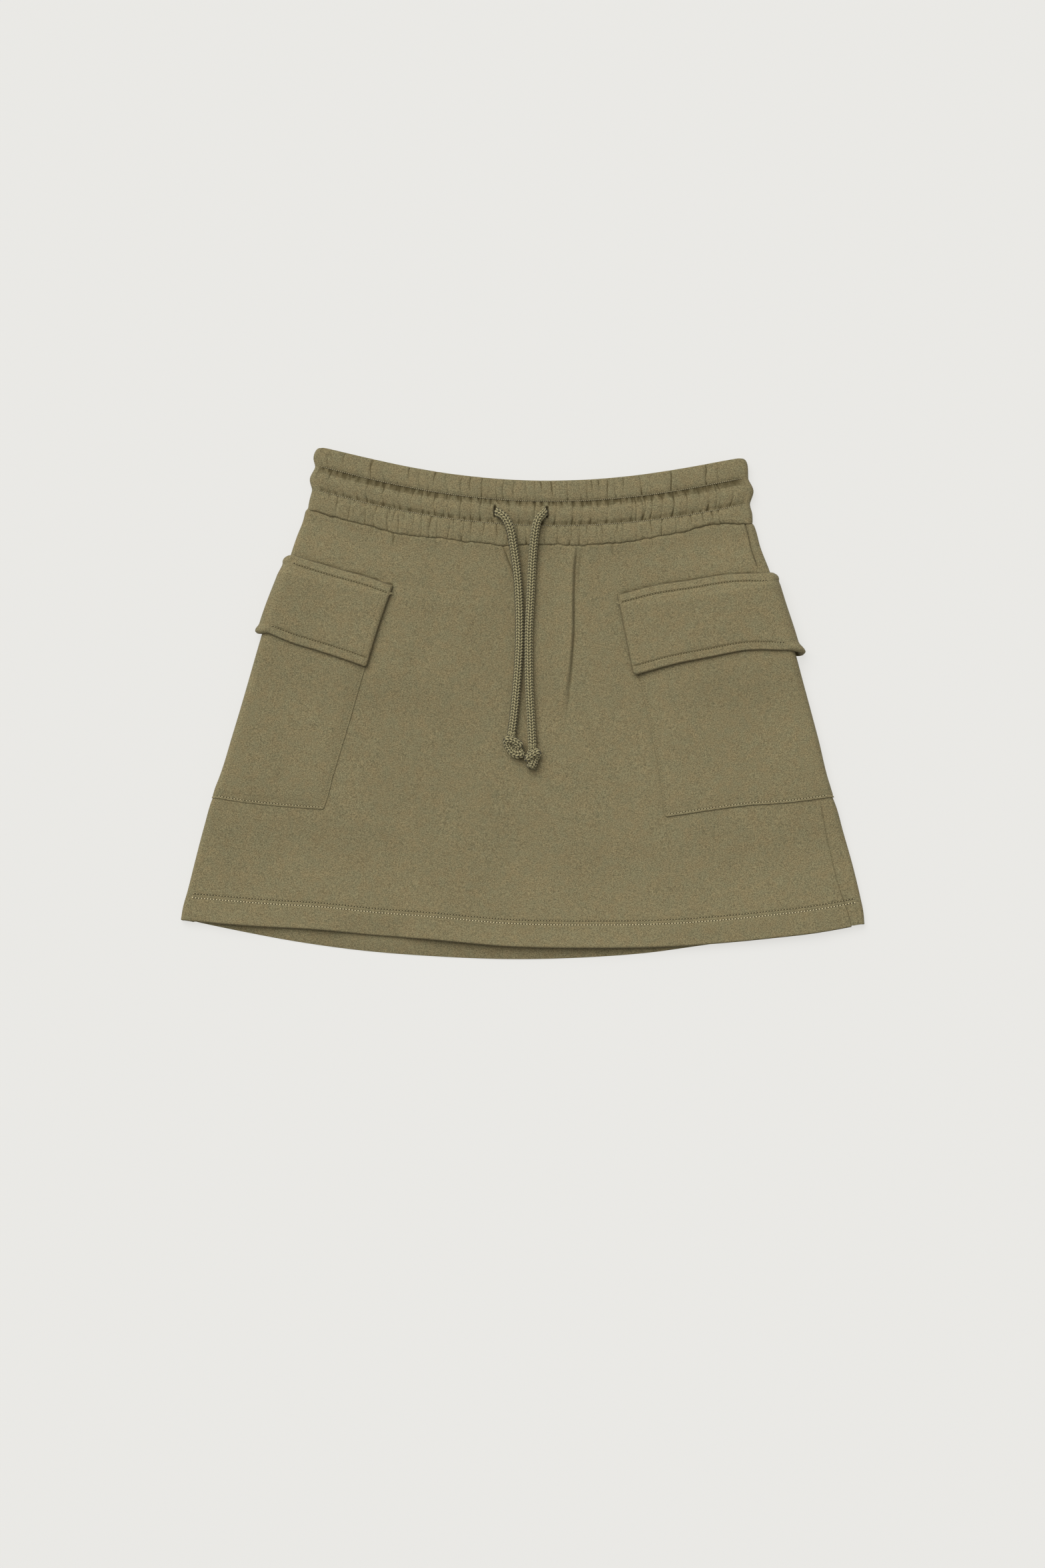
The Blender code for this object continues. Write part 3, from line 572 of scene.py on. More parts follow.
def body_point(face, along, row, out):
    """Points of the body's cloth, moved out of its surface by out."""
    along, row, out = (np.array(value, float) for value in np.broadcast_arrays(along, row, out))
    share_of_drop = ease(row, SIDE_DROP_START, 1.0)
    ends = [(x, y - drop * share_of_drop) for (x, y), drop in zip(body_ends(row), SIDE_DROP)]
    length = body_length(row)
    lift = BACK_LIFT * (1 - ramp(row, 0.0, BACK_LIFT_END)) ** 2

    def low(from_left, from_right):
        return lift + lift_over_pockets(row, from_left, from_right, BACK_SLOPE, BACK_SLOPE)

    def high(from_left, from_right):
        side = 2 * BODY_FOLD
        inward = ease(np.minimum(from_left, from_right), 0.0, LOFT_SLOPE)
        loft = side + (read(LOFT, "height", row) - side) * inward
        rise = front_fold_rise(row, ends[0][0] + BODY_FOLD + from_left)
        return lift + lift_over_pockets(row, from_left, from_right, FRONT_SLOPE, INWARD_SLOPE) + loft + rise

    def sag(share):
        if face == "back":
            drop = read(BACK_HEM, "drop", share, by="share") * row ** 3
        else:
            drop = -read(HEM_WAVE, "rise", share, by="share") * ease(row, HEM_WAVE_START, 1.0)
        return blend(SAG, row) + drop / np.maximum(LEAST_ARCH, arch(share))

    if face in SIDES:
        out = out + seam_dip(row * ROW_LENGTH)
    point = tube_point(face, along, ends, sag, low, high, BODY_FOLD, out)
    point[..., 1] += seam_line(point[..., 0]) * bell(row * ROW_LENGTH, SEAM_FADE)
    if face not in SIDES:
        point[..., 2] += body_relief(face, point[..., 0], point[..., 1], along / length, row, length)
    point[..., 2] = np.maximum(point[..., 2], 0.0)
    return point


# ---------------------------------------------------------------- meshes

RIM_TURNS = (0.25, 0.5, 0.75)           # points round a cut or folded edge, as shares of half a turn


def new_object(name, points, faces, look, mark=None, marks=None):
    """A smooth mesh object with this material. marks are one number a point that its material reads."""
    mesh = bpy.data.meshes.new(name)
    mesh.from_pydata(points.tolist(), [], faces)
    sheet = bmesh.new()
    sheet.from_mesh(mesh)
    bmesh.ops.recalc_face_normals(sheet, faces=sheet.faces[:])
    sheet.to_mesh(mesh)
    sheet.free()
    mesh.shade_smooth()
    if mark is not None:
        mesh.attributes.new(mark, "FLOAT", "POINT").data.foreach_set("value", marks.ravel())
    made = placed(name, mesh)
    mesh.materials.append(look)
    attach(made, "root")
    return made


def grid_faces(start, rows, columns, closed=False):
    """Faces between the points of a grid, which are numbered from start, row by row."""
    faces = []
    for row in range(rows - 1):
        near, far = start + row * columns, start + (row + 1) * columns
        for column in range(columns if closed else columns - 1):
            beside = (column + 1) % columns
            faces.append((near + column, near + beside, far + beside, far + column))
    return faces


def tube_faces(start, rings, sides):
    """Faces of a closed tube, and of a flat cap at both its ends."""
    caps = [tuple(start + ring * sides + side for side in range(sides)) for ring in (0, rings - 1)]
    return grid_faces(start, rings, sides, closed=True) + caps


def columns_on(face, columns):
    """The numbers of the columns that are on a face."""
    return [number for number, (its_face, _) in enumerate(columns) if its_face == face]


def grid(columns, rows, surface, inner):
    """Points of a surface, a row of them for each station and one for each column."""
    points = np.empty((len(rows), len(columns), 3))
    for face in ("front", "right", "back", "left"):
        chosen = columns_on(face, columns)
        if chosen:
            values = np.array([columns[number][1] for number in chosen])
            points[:, chosen] = surface(face, values[None, :], rows[:, None], inner=inner)
    return points


NEAR, WIDE = 0.9 * MM, 3.2 * MM         # how far the hollows of a cloth are measured, for the shade painted in them
WIDE_SHARE = 0.5
FEWEST_COLUMNS = 12                     # a face with fewer isn't measured


def shade_in_hollows(points, columns):
    """How far each point of a grid lies below the cloth beside it, in mm. Shade is painted in narrow hollows
    by it.
    """
    found = np.zeros(points.shape[:2])
    for face, out in (("front", 1.0), ("back", -1.0)):
        chosen = columns_on(face, columns)
        if len(chosen) < FEWEST_COLUMNS:
            continue
        part = points[:, chosen]
        height = part[..., 2] * out
        steps = [np.median(np.linalg.norm(np.diff(part, axis=axis), axis=2)) for axis in (0, 1)]
        total = np.zeros(height.shape)
        for size, weight in ((NEAR, 1.0), (WIDE, WIDE_SHARE)):
            for axis, step in zip((0, 1), steps):
                reach = max(1, round(size / step))
                padding = [(reach, reach) if its_axis == axis else (0, 0) for its_axis in (0, 1)]
                padded = np.pad(height, padding, mode="edge")
                beyond = np.take(padded, range(2 * reach, 2 * reach + height.shape[axis]), axis)
                before = np.take(padded, range(height.shape[axis]), axis)
                total += weight * ((beyond + before) / 2 - height)
        found[:, chosen] = total / MM
    return found


def wall_loops(down, across, ring):
    """The edges of a cloth wall, as loops of a point's row and column and of the point next inside."""
    top = [(0, column, 1, column) for column in range(across)]
    bottom = [(down - 1, column, down - 2, column) for column in range(across)]
    if ring:
        return [top, bottom]
    right = [(row, across - 1, row, across - 2) for row in range(down)]
    left = [(row, 0, row, 1) for row in range(down)]
    return [top[:-1] + right[:-1] + bottom[:0:-1] + left[:0:-1]]


def cloth_wall(name, columns, rows, surface, look, ring=False, bulge=0.8, coarse=4, rim=0.0, shade=None):
    """A closed cloth wall: a fine outer face, round edges and a coarse inner face.

    rim is how much shade is painted on its edges, and shade gives what more shade is painted for a face, a
    place and a row.
    """
    outer, inner = (grid(columns, rows, surface, under) for under in (False, True))
    # Painted shade: how deep the narrow hollows lie, and what shade adds.
    hollow = shade_in_hollows(outer, columns)
    if shade is not None:
        for number, (face, value) in enumerate(columns):
            hollow[:, number] += shade(face, value, rows)
    hollow = hollow.ravel()
    down, across = outer.shape[:2]
    kept_down = sorted({*range(0, down, coarse), down - 1})
    kept_across = sorted({*range(0, across, coarse)} | (set() if ring else {across - 1}))
    points = [outer.reshape(-1, 3), inner[np.ix_(kept_down, kept_across)].reshape(-1, 3)]
    base = down * across
    faces = grid_faces(0, down, across, ring) + grid_faces(base, len(kept_down), len(kept_across), ring)
    start = base + len(kept_down) * len(kept_across)
    kept = [(row, column) for row in kept_down for column in kept_across]
    coarse_point = {place: base + number for number, place in enumerate(kept)}

    for loop in wall_loops(down, across, ring):
        places = [(row, column) for row, column, _, _ in loop]
        edge_rows, edge_columns, in_rows, in_columns = np.array(loop).T
        edge, under = outer[edge_rows, edge_columns], inner[edge_rows, edge_columns]
        away = unit(edge - outer[in_rows, in_columns])
        half = (edge - under) / 2
        reach = np.linalg.norm(half, axis=1, keepdims=True) * bulge
        count = len(loop)
        previous = [row * across + column for row, column in places]
        for turn in RIM_TURNS:
            angle = turn * math.pi
            points.append(under + half + half * math.cos(angle) + away * reach * math.sin(angle))
            current = list(range(start, start + count))
            for n in range(count):
                m = (n + 1) % count
                faces.append((previous[n], previous[m], current[m], current[n]))
            previous, start = current, start + count
        # Fans join the fine rim to the coarse inner face.
        stops = [n for n in range(count) if places[n] in coarse_point]
        for stop, following in zip(stops, stops[1:] + [stops[0] + count]):
            here, there = (coarse_point[places[n % count]] for n in (stop, following))
            middle = (stop + following) // 2
            for n in range(stop, following):
                faces.append((previous[n % count], previous[(n + 1) % count], here if n < middle else there))
            faces.append((previous[middle % count], there, here))
    points = np.concatenate(points)
    # The points of the edges get the rim's painted shade.
    marks = np.pad(hollow, (0, len(points) - len(hollow)), constant_values=rim)
    return new_object(name, points, faces, look, "hollow", marks)


# ---------------------------------------------------------------- threads

THREAD = 0.34 * MM                     # half a thread's thickness
HOLE = 0.42 * MM                       # half the width of a needle hole's painted shade
BEAN_SHARES = np.array((-0.5, -0.28, 0.0, 0.28, 0.5))
BEAN_LIFTS = np.array((-0.25, 0.16, 0.28, 0.16, -0.25))
BEAN_SIZES = np.array((0.45, 0.9, 1.0, 0.9, 0.45))
HOLE_LIFTS = np.array((-0.02, 0.02, -0.02))
HOLE_SHARE = 1.02                      # a thread and a hole together are this much of the pitch
HOLE_FLAT = 0.35                       # a hole's height, as a share of its width
BEAN_SIDES, BEAN_TURN = 5, 0.3
FINE_POINTS = 1500                     # on a line of stitches, to measure its length


def beans(centres, ups, half, flat=1.0):
    """Small tubes through rows of five points, or of three: their points and faces."""
    count, rings = centres.shape[:2]
    sizes = BEAN_SIZES if rings == len(BEAN_SIZES) else BEAN_SIZES[::2]
    ahead = unit(np.gradient(centres, axis=1))
    aside = unit(np.cross(ahead, ups))
    ups = np.cross(aside, ahead)
    angles = np.arange(BEAN_SIDES) * 2 * math.pi / BEAN_SIDES + BEAN_TURN
    size = (half * sizes)[None, :, None, None]
    ring = (aside[:, :, None] * np.cos(angles)[None, None, :, None]
            + ups[:, :, None] * np.sin(angles)[None, None, :, None] * flat)
    points = (centres[:, :, None] + size * ring).reshape(-1, 3)
    faces = []
    for bean in range(count):
        faces += tube_faces(bean * rings * BEAN_SIDES, rings, BEAN_SIDES)
    return points, faces


def beans_on(line, pitch, share, lifts, offset=0.0):
    """Centres and up directions of beans along a line on the cloth.

    line(t, lift) gives its points for t from 0 to 1, moved off the cloth by lift.
    """
    fine = np.linspace(0, 1, FINE_POINTS)
    walked = walked_along(line(fine, 0.0))
    count = int(walked[-1] / pitch)
    middles = (np.arange(count) + 0.5 + offset) * walked[-1] / count
    middles = middles[middles < walked[-1] - 0.5 * pitch * share]
    shares = BEAN_SHARES if len(lifts) == len(BEAN_SHARES) else BEAN_SHARES[::2]
    places = middles[:, None] + shares * pitch * share
    t = np.interp(places, walked, fine)
    centres = line(t, lifts * MM)
    ups = line(t, lifts * MM + 1 * MM) - centres
    return centres, ups


def merged(parts):
    """One list of points and faces from several."""
    points, faces, start = [], [], 0
    for its_points, its_faces in parts:
        points.append(its_points)
        faces += [tuple(start + corner for corner in face) for face in its_faces]
        start += len(its_points)
    return np.concatenate(points), faces


def stitches(name, lines, pitch, thread_look, hole_shade_look=None, half=THREAD, wide=HOLE, share=0.68):
    """Rows of stitches as threads, with painted shade for a needle hole between each two if they are pulled
    tight.

    half and wide are half the width of a thread and of a hole's shade, and share is a thread's of the pitch.
    """
    threads, hole_shades = [], []
    for line in lines:
        threads.append(beans(*beans_on(line, pitch, share, BEAN_LIFTS), half))
        # Dark beads of painted shade where the needle holes are.
        if hole_shade_look is not None:
            between = beans_on(line, pitch, HOLE_SHARE - share, HOLE_LIFTS, offset=0.5)
            hole_shades.append(beans(*between, wide, HOLE_FLAT))
    for its_name, beads, look in ((name, threads, thread_look), (f"{name}_holes", hole_shades, hole_shade_look)):
        if beads:
            points, faces = merged(beads)
            points[:, 2] = np.maximum(points[:, 2], 0.0)
            new_object(its_name, points, faces, look)


# ---------------------------------------------------------------- materials

MIX_SHARE, MIX_FIRST, MIX_SECOND, MIX_RESULT = 0, 6, 7, 2    # a mix node's sockets for colours


def node(tree, kind, result, inputs, **settings):
    """A new shader node with these inputs, each a socket or a fixed value: its result."""
    made = tree.nodes.new(f"ShaderNode{kind}")
    for name, value in settings.items():
        setattr(made, name, value)
    for name, value in inputs.items():
        if isinstance(value, bpy.types.NodeSocket):
            tree.links.new(value, made.inputs[name])
        else:
            made.inputs[name].default_value = value
    return made.outputs[result]


def noise(tree, vector, scale, detail=2.0, roughness=0.5):
    """A noise texture's height."""
    sizes = {"Scale": scale, "Detail": detail, "Roughness": roughness}
    return node(tree, "TexNoise", "Fac", {"Vector": vector, **sizes})


def stretched(tree, vector, size):
    """The object's coordinates, stretched by three factors."""
    return node(tree, "Mapping", "Vector", {"Vector": vector, "Scale": size})


def remap(tree, value, low, high, to_low=0.0, to_high=1.0):
    """A value taken from one range to another."""
    ranges = {"From Min": low, "From Max": high, "To Min": to_low, "To Max": to_high}
    return node(tree, "MapRange", "Result", {"Value": value, **ranges})


def mix(tree, share, first, second, way="MIX"):
    """Two colours mixed by a share. Each of the three is a socket or a fixed value."""
    inputs = {MIX_SHARE: share, MIX_FIRST: first, MIX_SECOND: second}
    return node(tree, "Mix", MIX_RESULT, inputs, data_type="RGBA", blend_type=way)


def combined(tree, first, second):
    """Two values added."""
    return node(tree, "Math", "Value", {0: first, 1: second})


def mark_of(tree, name):
    """The marks that new_object puts on a mesh's points."""
    return node(tree, "Attribute", "Fac", {}, attribute_name=name)


def bump(tree, heights, shader):
    """Bumps on a shader: each is a height, how strong it is and how deep in metres."""
    below = {}
    for height, strength, distance in heights:
        sizes = {"Strength": strength, "Distance": distance}
        below = {"Normal": node(tree, "Bump", "Normal", {"Height": height, **sizes, **below})}
    tree.links.new(below["Normal"], shader.inputs["Normal"])


def tint(colour, factor):
    """A colour made lighter or darker."""
    return tuple(channel * factor for channel in colour[:3]) + (1.0,)


SHEEN_ROUGHNESS = 0.5
SPECULAR = 0.08                         # cotton hardly shines


def start_material(name, roughness, sheen):
    """A new material: its tree, its shader and its coordinates."""
    material = bpy.data.materials.new(name)
    material.use_nodes = True
    tree = material.node_tree
    shader = tree.nodes["Principled BSDF"]
    shader.inputs["Roughness"].default_value = roughness
    shader.inputs["Sheen Weight"].default_value = sheen
    shader.inputs["Sheen Roughness"].default_value = SHEEN_ROUGHNESS
    shader.inputs["Specular IOR Level"].default_value = SPECULAR
    place = tree.nodes.new("ShaderNodeTexCoord").outputs["Object"]
    return material, tree, shader, place


CLOTH_COLOUR = (0.222, 0.188, 0.103, 1.0)
# Painted shade: the knit is mixed towards this in its hollows, along the waistband's stitch rows and at its
# edges.
CREASE_SHADE_COLOUR = (0.075, 0.058, 0.024, 1.0)
CORD_COLOUR = (0.208, 0.183, 0.099, 1.0)
THREAD_COLOUR = (0.38, 0.33, 0.20, 1.0)
# Painted shade of a needle hole.
HOLE_SHADE_COLOUR = (0.045, 0.037, 0.018, 1.0)
WARMER = ((0.962, 1.0, 1.01, 1.0), (1.038, 0.995, 0.962, 1.0))      # the cloth's small colour changes
LIGHTER = ((0.975, 0.975, 0.975, 1.0), (1.02, 1.02, 1.02, 1.0))     # and its wide changes of shade


def cloth_material():
    """Brushed knit: fine heathered loops in wales, with slow changes of shade, and painted shade in its
    hollows and at its edges.
    """
    material, tree, shader, place = start_material("sweatshirt_knit", 0.95, 0.06)
    fine = noise(tree, stretched(tree, place, (1.0, 0.75, 1.0)), 2000, 2.0, 0.6)
    specks = noise(tree, place, 950, 1.0)
    grain = remap(tree, fine, 0.32, 0.68)
    grain = combined(tree, grain, remap(tree, specks, 0.3, 0.7, -0.25, 0.25))
    colour = mix(tree, grain, tint(CLOTH_COLOUR, 0.60), tint(CLOTH_COLOUR, 1.46))
    small, wide = noise(tree, place, 105, 3.0, 0.75), noise(tree, place, 14)
    for shades, patches in ((WARMER, small), (LIGHTER, wide)):
        colour = mix(tree, 1.0, colour, mix(tree, remap(tree, patches, 0.35, 0.65), *shades), "MULTIPLY")
    # Painted shade, where the hollow marks are high.
    deep = remap(tree, mark_of(tree, "hollow"), 0.05, 0.95, 0.0, 0.85)
    tree.links.new(mix(tree, deep, colour, CREASE_SHADE_COLOUR), shader.inputs["Base Color"])
    wales = noise(tree, stretched(tree, place, (1.0, 0.35, 1.0)), 900, 1.0)
    bump(tree, ((wales, 0.30, 0.4 * MM), (fine, 0.35, 0.4 * MM)), shader)
    return material


def cord_material():
    """Braided cotton yarn: a lit and a shaded copy of its colour, mixed by painted light that is high on its
    loops and low between them.
    """
    material, tree, shader, place = start_material("braided_cotton", 0.85, 0.2)
    fibres = noise(tree, place, 2200, 3.0, 0.6)
    fine = remap(tree, fibres, 0.3, 0.7)
    # Lit and shaded copies of the cord's colour: painted light and shade.
    light = mix(tree, fine, tint(CORD_COLOUR, 1.3), tint(CORD_COLOUR, 2.5))
    dark = mix(tree, fine, tint(CORD_COLOUR, 0.15), tint(CORD_COLOUR, 0.38))
    on_loop = remap(tree, mark_of(tree, "painted_light"), 0.28, 0.7)
    tree.links.new(mix(tree, on_loop, dark, light), shader.inputs["Base Color"])
    bump(tree, ((fibres, 0.5, 0.3 * MM),), shader)
    return material


def plain_thread(name, colour, roughness):
    """Sewing thread, or the painted shade of a needle hole."""
    material, tree, shader, place = start_material(name, roughness, 0.1)
    fine = remap(tree, noise(tree, place, 3000), 0.3, 0.7)
    tree.links.new(mix(tree, fine, tint(colour, 0.85), tint(colour, 1.15)), shader.inputs["Base Color"])
    bump(tree, ((noise(tree, place, 2500, 1.0), 0.3, 0.2 * MM),), shader)
    return material


knit = cloth_material()
braid = cord_material()
thread = plain_thread("sewing_thread", THREAD_COLOUR, 0.7)
pale_thread = plain_thread("hem_thread", tint(THREAD_COLOUR, 1.7), 0.7)
sunk_thread = plain_thread("sunk_thread", tint(CLOTH_COLOUR, 1.45), 0.8)
# Painted shade in the needle holes between stitches.
hole_shade = plain_thread("needle_hole_shade", HOLE_SHADE_COLOUR, 1.0)

# ---------------------------------------------------------------- drawcord

RING_STEP = 0.34 * MM
RING_POINTS = 66
WALES = 4                               # columns of loops round the cord
LOOP = 2.4 * MM                         # one loop's length along the cord
CORE = 0.72                             # radius between the loops, as a share of the cord's
CORD_OUT = 3.5 * MM                     # its outer radius, on the loops
LOOP_LEAN = 1.5                         # a loop's halves lean by this, in loops over a wale's width
LOOP_SIDES, LOOP_ENDS = 0.6, 0.7        # below 1, a loop is high nearly to its sides and its ends
SHADED = 0.35                           # the share of painted light its loops keep towards its sides
LIT = 0.5                               # they get all of it where they face up by this or more
STEEP = 0.2                             # a route that starts nearly upright has no side of its own
SLIT_WIDE, SLIT_TALL = 1.9 * MM, 4.2 * MM       # half sizes of the cord in its buttonhole
SLIT_END, FREE_START = 2 * MM, 11 * MM          # it is as flat as that so far, and round from there on


def knit_relief(turn, along):
    """The height of the knitted loops round a cord, from 0 between them to 1 on them."""
    wale = turn * WALES + 0.5
    inside = wale - np.floor(wale)
    half = np.where(inside < 0.5, inside * 2, (inside - 0.5) * 2)
    lean = np.where(inside < 0.5, inside, 1 - inside)
    across = np.sin(math.pi * half) ** LOOP_SIDES
    length = np.abs(np.sin(math.pi * (along / LOOP + lean * LOOP_LEAN))) ** LOOP_ENDS
    return across * length


def carried_frames(route):
    """Two directions across a route at each of its points, carried along it without twist."""
    ahead = unit(np.gradient(route, axis=0))
    aside = np.empty_like(route)
    first = np.cross(ahead[0], (0.0, 0.0, 1.0))
    if np.linalg.norm(first) < STEEP:
        first = np.array((0.0, 1.0, 0.0))
    for number, direction in enumerate(ahead):
        first = first - direction * np.dot(first, direction)
        first = first / np.linalg.norm(first)
        aside[number] = first
    return ahead, aside, np.cross(aside, ahead)


def cord_tube(name, route, sizes):
    """A knitted tube round a route. sizes are its radius across and along its second direction.

    Its marks are painted light and shade: high on the loops and low between them and towards its sides, where
    less light gets in.
    """
    ahead, aside, up = carried_frames(route)
    turns = np.arange(RING_POINTS) / RING_POINTS
    relief = knit_relief(turns[None, :], walked_along(route)[:, None])
    share = (CORE + (1 - CORE) * relief)[..., None]
    angle = 2 * math.pi * turns
    wide, tall = (np.asarray(size)[:, None, None] for size in sizes)
    cosine, sine = np.cos(angle)[None, :, None], np.sin(angle)[None, :, None]
    points = route[:, None] + share * (aside[:, None] * cosine * wide + up[:, None] * sine * tall)
    faces_up = (aside[:, None] * cosine + up[:, None] * sine)[..., 2]
    marks = relief * blend((SHADED, 1.0), ease(faces_up, 0.0, LIT))
    faces = tube_faces(0, len(route), RING_POINTS)
    made = new_object(name, points.reshape(-1, 3), faces, braid, "painted_light", marks)
    return made


# The end of each cord, tied: it goes under its own wrap, round and over it, and out as a tail.
KNOTS = {
    "left": ((-9.0, -24.0, 8.9), (-8.8, -29.0, 8.8), (-6.6, -33.6, 8.8), (-3.6, -35.4, 9.6),
             (-3.0, -33.4, 11.6), (-6.4, -30.8, 12.4), (-10.4, -29.4, 12.2), (-12.6, -30.4, 10.6),
             (-12.0, -33.6, 9.0), (-9.6, -37.4, 8.6), (-7.4, -39.6, 8.7), (-3.6, -40.6, 9.0),
             (0.4, -39.4, 9.2)),
    "right": ((7.4, -33.2, 8.9), (7.3, -37.6, 8.8), (5.4, -42.4, 8.8), (4.0, -44.4, 9.6),
              (4.8, -43.4, 11.6), (8.0, -41.2, 12.4), (11.0, -39.6, 11.6), (11.2, -41.6, 9.8),
              (9.4, -44.4, 9.0), (8.4, -46.8, 8.8), (7.4, -49.2, 9.0), (6.2, -51.6, 9.2)),
}
WRAP = 1.08                             # a knot's cord is a little thicker than the free cord
TAIL_FLARE = {"left": 0.4, "right": 0.95}       # how much wider the cut tip is than the rest
TAIL_SPREADS = (0.76, 0.92)             # between these shares of the knot's cord
TAIL_FLATTENS = 0.4                     # how much flatter a flare makes it
FRAY_STRANDS = 120
FRAY_YARN = 0.42 * MM                   # half a loose yarn's thickness
FRAY_REACH, FRAY_FLAT = 0.94, 0.55      # the yarns' spread as a share of the cord's, and its flatness
FRAY_SUNK = 1.2 * MM                    # the yarns start this far inside the cord

# Where the cord comes from, up to its buttonhole, from the route's first point. The first number
# is towards the middle of the front.
LEAD_IN = ((1.8, 0.5, -4.6), (1.9, 0.3, -2.2), (1.6, 0.0, 0.2))


def fray(name, route, wide):
    """Loose yarn ends at the cut tip of a cord, which is this wide."""
    ahead, aside, up = carried_frames(route)
    tip = route[-1]
    angles = random.uniform(0, 2 * math.pi, FRAY_STRANDS)
    reach = np.sqrt(random.uniform(0.05, 1.0, FRAY_STRANDS)) * FRAY_REACH * wide
    spread = aside[-1] * np.cos(angles)[:, None] + up[-1] * np.sin(angles)[:, None] * FRAY_FLAT
    start = tip + spread * reach[:, None] - ahead[-1] * FRAY_SUNK
    length = random.uniform(1.5, 2.5, FRAY_STRANDS)[:, None] * MM
    end = start + ahead[-1] * length + spread * random.uniform(-0.2, 0.7, FRAY_STRANDS)[:, None] * MM
    shares = (BEAN_SHARES + 0.5)[None, :, None]
    centres = blend((start[:, None], end[:, None]), shares)
    ups = np.broadcast_to(up[-1], centres.shape)
    points, faces = beans(centres, ups, FRAY_YARN)
    # Painted light: each loose yarn gets a share between the cord's shaded and lit copies, at random.
    marks = np.repeat(random.uniform(0.3, 0.6, FRAY_STRANDS), len(BEAN_SHARES) * BEAN_SIDES)
    made = new_object(name, points, faces, braid, "painted_light", marks)
    return made


def build_drawcord(side):
    """One free end: out of its buttonhole, down the front, and tied at its end."""
    to_middle = 1 if side == "left" else -1
    points = np.array(DRAWCORDS[side]) * MM
    lead = points[0] + np.array(LEAD_IN) * (to_middle, 1, 1) * MM
    route = smooth_route([*lead, *points[1:]], RING_STEP)
    walked = walked_along(route)
    free = ease(walked, SLIT_END, FREE_START)
    sizes = [blend((size, CORD_OUT), free) for size in (SLIT_TALL, SLIT_WIDE)]
    made = cord_tube(f"cord_{side}", route, sizes)
    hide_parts(f"drawcord_{side}")
    tied = smooth_route(np.array(KNOTS[side]) * MM, RING_STEP)
    flare = TAIL_FLARE[side] * ease(np.linspace(0, 1, len(tied)), *TAIL_SPREADS)
    size = CORD / 2 * (WRAP + flare)
    knot = cord_tube(f"cord_knot_{side}", tied, (size, size * (1 - TAIL_FLATTENS * flare)))
    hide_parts(f"knot_{side}")
    loose = fray(f"cord_fray_{side}", tied, size[-1])


for side in SIDES:
    build_drawcord(side)

# ---------------------------------------------------------------- panels

# Rows in mm below the waist seam, and the front's columns: where each span ends and its step. They
# are close together at the seam, the stitches, the cords' shadows and the long fold.
FRONT_ROWS = stations(-2.6, (0, 0.8), (6, 0.6), (40, 1.4), (298, 2.3), (310.5, 0.45), (323.9, 1.0))
BACK_ROWS = stations(-2.6, (0, 0.8), (6, 0.9), (40, 2.2), (298, 4.0), (310.5, 0.6), (323.9, 1.5))
FRONT_SHARES = stations(0.0, (0.43, 0.0031), (0.475, 0.0012), (0.553, 0.0031), (0.615, 0.0011),
                        (0.98, 0.0032), (1.0, 0.0012))
BACK_COLUMNS = 201
FOLD_TURNS = np.linspace(0.0, 1.0, 13)[1:-1]
BACK_HEM_THINS = 2.2 * MM               # towards its edge, where it slopes down to the floor
BACK_HEM_THINS_FROM = 0.966             # from this row on


def on(face, values):
    """Columns of one face."""
    return [(face, float(value)) for value in values]


def front_panel(face, value, row, inner=False, lift=0.0):
    """The front: from the left seam, behind, round the left fold to the seam on the right."""
    along = value
    if face == "front":
        along = value * (body_length(row) - read(SIDE_SEAM, "right", row) - SEAM)
    elif face == "back":
        along = value * (read(SIDE_SEAM, "left", row) - SEAM)
    thick = blend((CLOTH, HEM_WALL), ramp(row, *HEM_ROWS))
    return body_point(face, along, row, -thick if inner else lift)


def back_panel(face, value, row, inner=False, lift=0.0):
    """The back, from the seam on the right of the front to the left seam."""
    along = value
    length = body_length(row)
    if face == "front":
        along = length - read(SIDE_SEAM, "right", row) * (1 - value)
    elif face == "back":
        along = blend((length, read(SIDE_SEAM, "left", row)), value)
    thins = ease(row, BACK_HEM_THINS_FROM, 1.0)
    thick = blend((CLOTH, HEM_WALL), ramp(row, *HEM_ROWS)) - BACK_HEM_THINS * thins
    return body_point(face, along, row, -thick if inner else lift)


columns = on("back", np.linspace(1, 0, 7)) + on("left", FOLD_TURNS) + on("front", FRONT_SHARES)
front = cloth_wall("front_cloth", columns, FRONT_ROWS * MM / ROW_LENGTH, front_panel, knit,
                   bulge=0.7, rim=0.55)
columns = on("front", np.linspace(0, 1, 6)) + on("right", FOLD_TURNS[::-1])
columns += on("back", np.linspace(0, 1, BACK_COLUMNS))
back = cloth_wall("back_cloth", columns, BACK_ROWS * MM / ROW_LENGTH, back_panel, knit, bulge=0.7, coarse=3)
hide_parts("front_panel")
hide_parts("back_panel")

# ---------------------------------------------------------------- pockets and flaps

STITCH_IN = {"pocket": 1.6 * MM, "flap": 6.4 * MM}      # the stitching, in from a piece's edges
POCKET_THINS = (1.12 * MM, 0.66 * MM)   # towards its edges, which are sewn down flat
POCKET_SLOPE = 11 * MM                  # over this
POCKET_DIP, POCKET_DIP_BREADTH = 0.4 * MM, 0.45 * MM    # at its stitching
